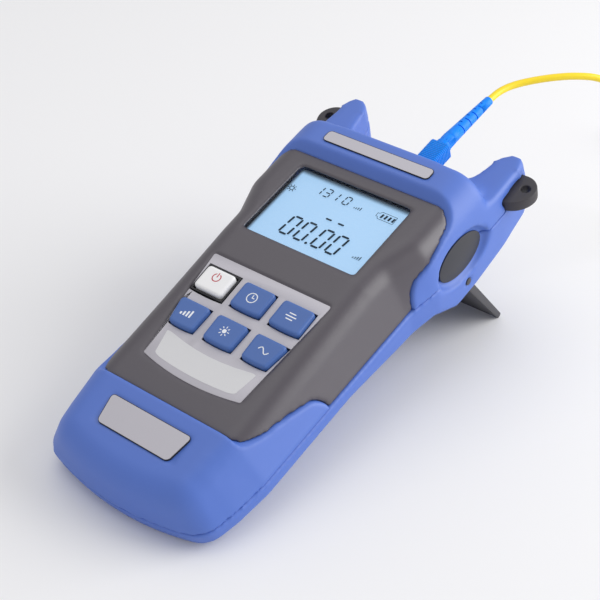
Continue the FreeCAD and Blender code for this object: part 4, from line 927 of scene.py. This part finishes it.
# The camera's place is in the meter's own directions, in millimetres. Its angles are measured over a floor
# that leans by CAMERA_LEAN in those directions. The focal length is the one for an image IMAGE_WIDTH wide.
CAMERA_EYE = (274.0, -127.3, 391.1)
CAMERA_AZIMUTH = math.radians(38.964)
CAMERA_ELEVATION = math.radians(35.394)
CAMERA_LEAN = math.radians(-16.438)
CAMERA_FOCAL = 1387.03
IMAGE_WIDTH = 600.0
SENSOR_WIDTH = 36.0


def make_stage():
    """Pale seamless floor, soft lights and the camera."""
    floor = Finish("pale_floor", (0.86, 0.86, 0.87), 0.8, Specular_IOR_Level=0.2)
    bpy.ops.mesh.primitive_plane_add(size=6.0, location=(0.0, 0.0, -0.0002))
    plane = bpy.context.active_object
    plane.name = "floor"
    plane.data.materials.append(floor.material)

    world = bpy.data.worlds.new("studio")
    bpy.context.scene.world = world
    world.use_nodes = True
    backdrop = world.node_tree.nodes["Background"]
    backdrop.inputs["Color"].default_value = (0.97, 0.965, 0.975, 1.0)
    backdrop.inputs["Strength"].default_value = 0.66

    for name, place, size, power in (("side_light", (0.75, 0.62, 0.48), 0.9, 9.0),
                                     ("top_light", (-0.3, 0.1, 1.1), 0.9, 2.2)):
        lamp = bpy.data.lights.new(name, "AREA")
        lamp.energy = power
        lamp.size = size
        item = bpy.data.objects.new(name, lamp)
        bpy.context.collection.objects.link(item)
        item.location = place
        aim = Vector((0.0, 0.0, 0.04)) - Vector(place)
        item.rotation_euler = aim.to_track_quat("-Z", "Y").to_euler()

    azimuth, elevation = CAMERA_AZIMUTH, CAMERA_ELEVATION
    eye = STANCE @ (Vector(CAMERA_EYE) * MM)
    settle = STANCE.to_3x3() @ Matrix.Rotation(CAMERA_LEAN, 3, "X")
    back = settle @ Vector((math.sin(azimuth) * math.cos(elevation), -math.cos(azimuth) * math.cos(elevation),
                            math.sin(elevation)))
    right = settle @ Vector((math.cos(azimuth), math.sin(azimuth), 0.0))
    up = back.cross(right)
    view = bpy.data.cameras.new("camera")
    view.lens = CAMERA_FOCAL / IMAGE_WIDTH * SENSOR_WIDTH
    view.sensor_width = SENSOR_WIDTH
    view.clip_start = 0.01
    camera = bpy.data.objects.new("camera", view)
    bpy.context.collection.objects.link(camera)
    camera.matrix_world = Matrix(((right.x, up.x, back.x, eye.x), (right.y, up.y, back.y, eye.y),
                                  (right.z, up.z, back.z, eye.z), (0, 0, 0, 1)))
    bpy.context.scene.camera = camera
    bpy.context.scene.view_settings.view_transform = "Standard"


# ---------------------------------------------------------------- operators

class MeterOperator:
    """Shared behaviour of the building steps."""

    bl_options = {"REGISTER", "UNDO"}
    step = None

    def execute(self, context):
        if not LOOK:
            LOOK.update(make_materials())
        type(self).step()
        return {"FINISHED"}


class METER_OT_stage(MeterOperator, bpy.types.Operator):
    """Floor, lights and camera"""
    bl_idname = "meter.stage"
    bl_label = "Stage"
    step = staticmethod(make_stage)


class METER_OT_plugs(MeterOperator, bpy.types.Operator):
    """Connectors and bend reliefs"""
    bl_idname = "meter.plugs"
    bl_label = "Plugs"
    step = staticmethod(make_plugs)


class METER_OT_cord(MeterOperator, bpy.types.Operator):
    """Patch cord with its coil"""
    bl_idname = "meter.cord"
    bl_label = "Cord"
    step = staticmethod(make_cord)


class METER_OT_covers(MeterOperator, bpy.types.Operator):
    """Soft moulded covers and back"""
    bl_idname = "meter.covers"
    bl_label = "Covers"
    step = staticmethod(make_covers)


class METER_OT_small_parts(MeterOperator, bpy.types.Operator):
    """Inlays, stand, door, port and inner parts"""
    bl_idname = "meter.small_parts"
    bl_label = "Small parts"
    step = staticmethod(make_small_parts)


class METER_OT_nameplates(MeterOperator, bpy.types.Operator):
    """Bare silver nameplates"""
    bl_idname = "meter.nameplates"
    bl_label = "Nameplates"
    step = staticmethod(make_nameplates)


class METER_OT_display(MeterOperator, bpy.types.Operator):
    """Window, lit display and its figures"""
    bl_idname = "meter.display"
    bl_label = "Display"
    step = staticmethod(make_display)


class METER_OT_keypad(MeterOperator, bpy.types.Operator):
    """Keypad film, keys and their symbols"""
    bl_idname = "meter.keypad"
    bl_label = "Keypad"
    step = staticmethod(make_keypad)


STEPS = (METER_OT_stage, METER_OT_plugs, METER_OT_cord, METER_OT_covers, METER_OT_small_parts,
         METER_OT_nameplates, METER_OT_display, METER_OT_keypad)


class METER_PT_panel(bpy.types.Panel):
    """Buttons for the building steps"""
    bl_idname = "METER_PT_panel"
    bl_label = "Power meter"
    bl_space_type = "VIEW_3D"
    bl_region_type = "UI"
    bl_category = "Power meter"

    def draw(self, context):
        for step in STEPS:
            self.layout.operator(step.bl_idname)


CLASSES = (MeterSizes, MeterColours) + STEPS + (METER_PT_panel,)


def register():
    for item in CLASSES:
        bpy.utils.register_class(item)
    bpy.types.Scene.meter_sizes = PointerProperty(type=MeterSizes)
    bpy.types.Scene.meter_colours = PointerProperty(type=MeterColours)


def unregister():
    del bpy.types.Scene.meter_colours
    del bpy.types.Scene.meter_sizes
    for item in reversed(CLASSES):
        bpy.utils.unregister_class(item)


def main():
    register()
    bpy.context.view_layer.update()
    for step in STEPS:
        group, name = step.bl_idname.split(".")
        getattr(getattr(bpy.ops, group), name)()


if __name__ == "__main__":
    main()
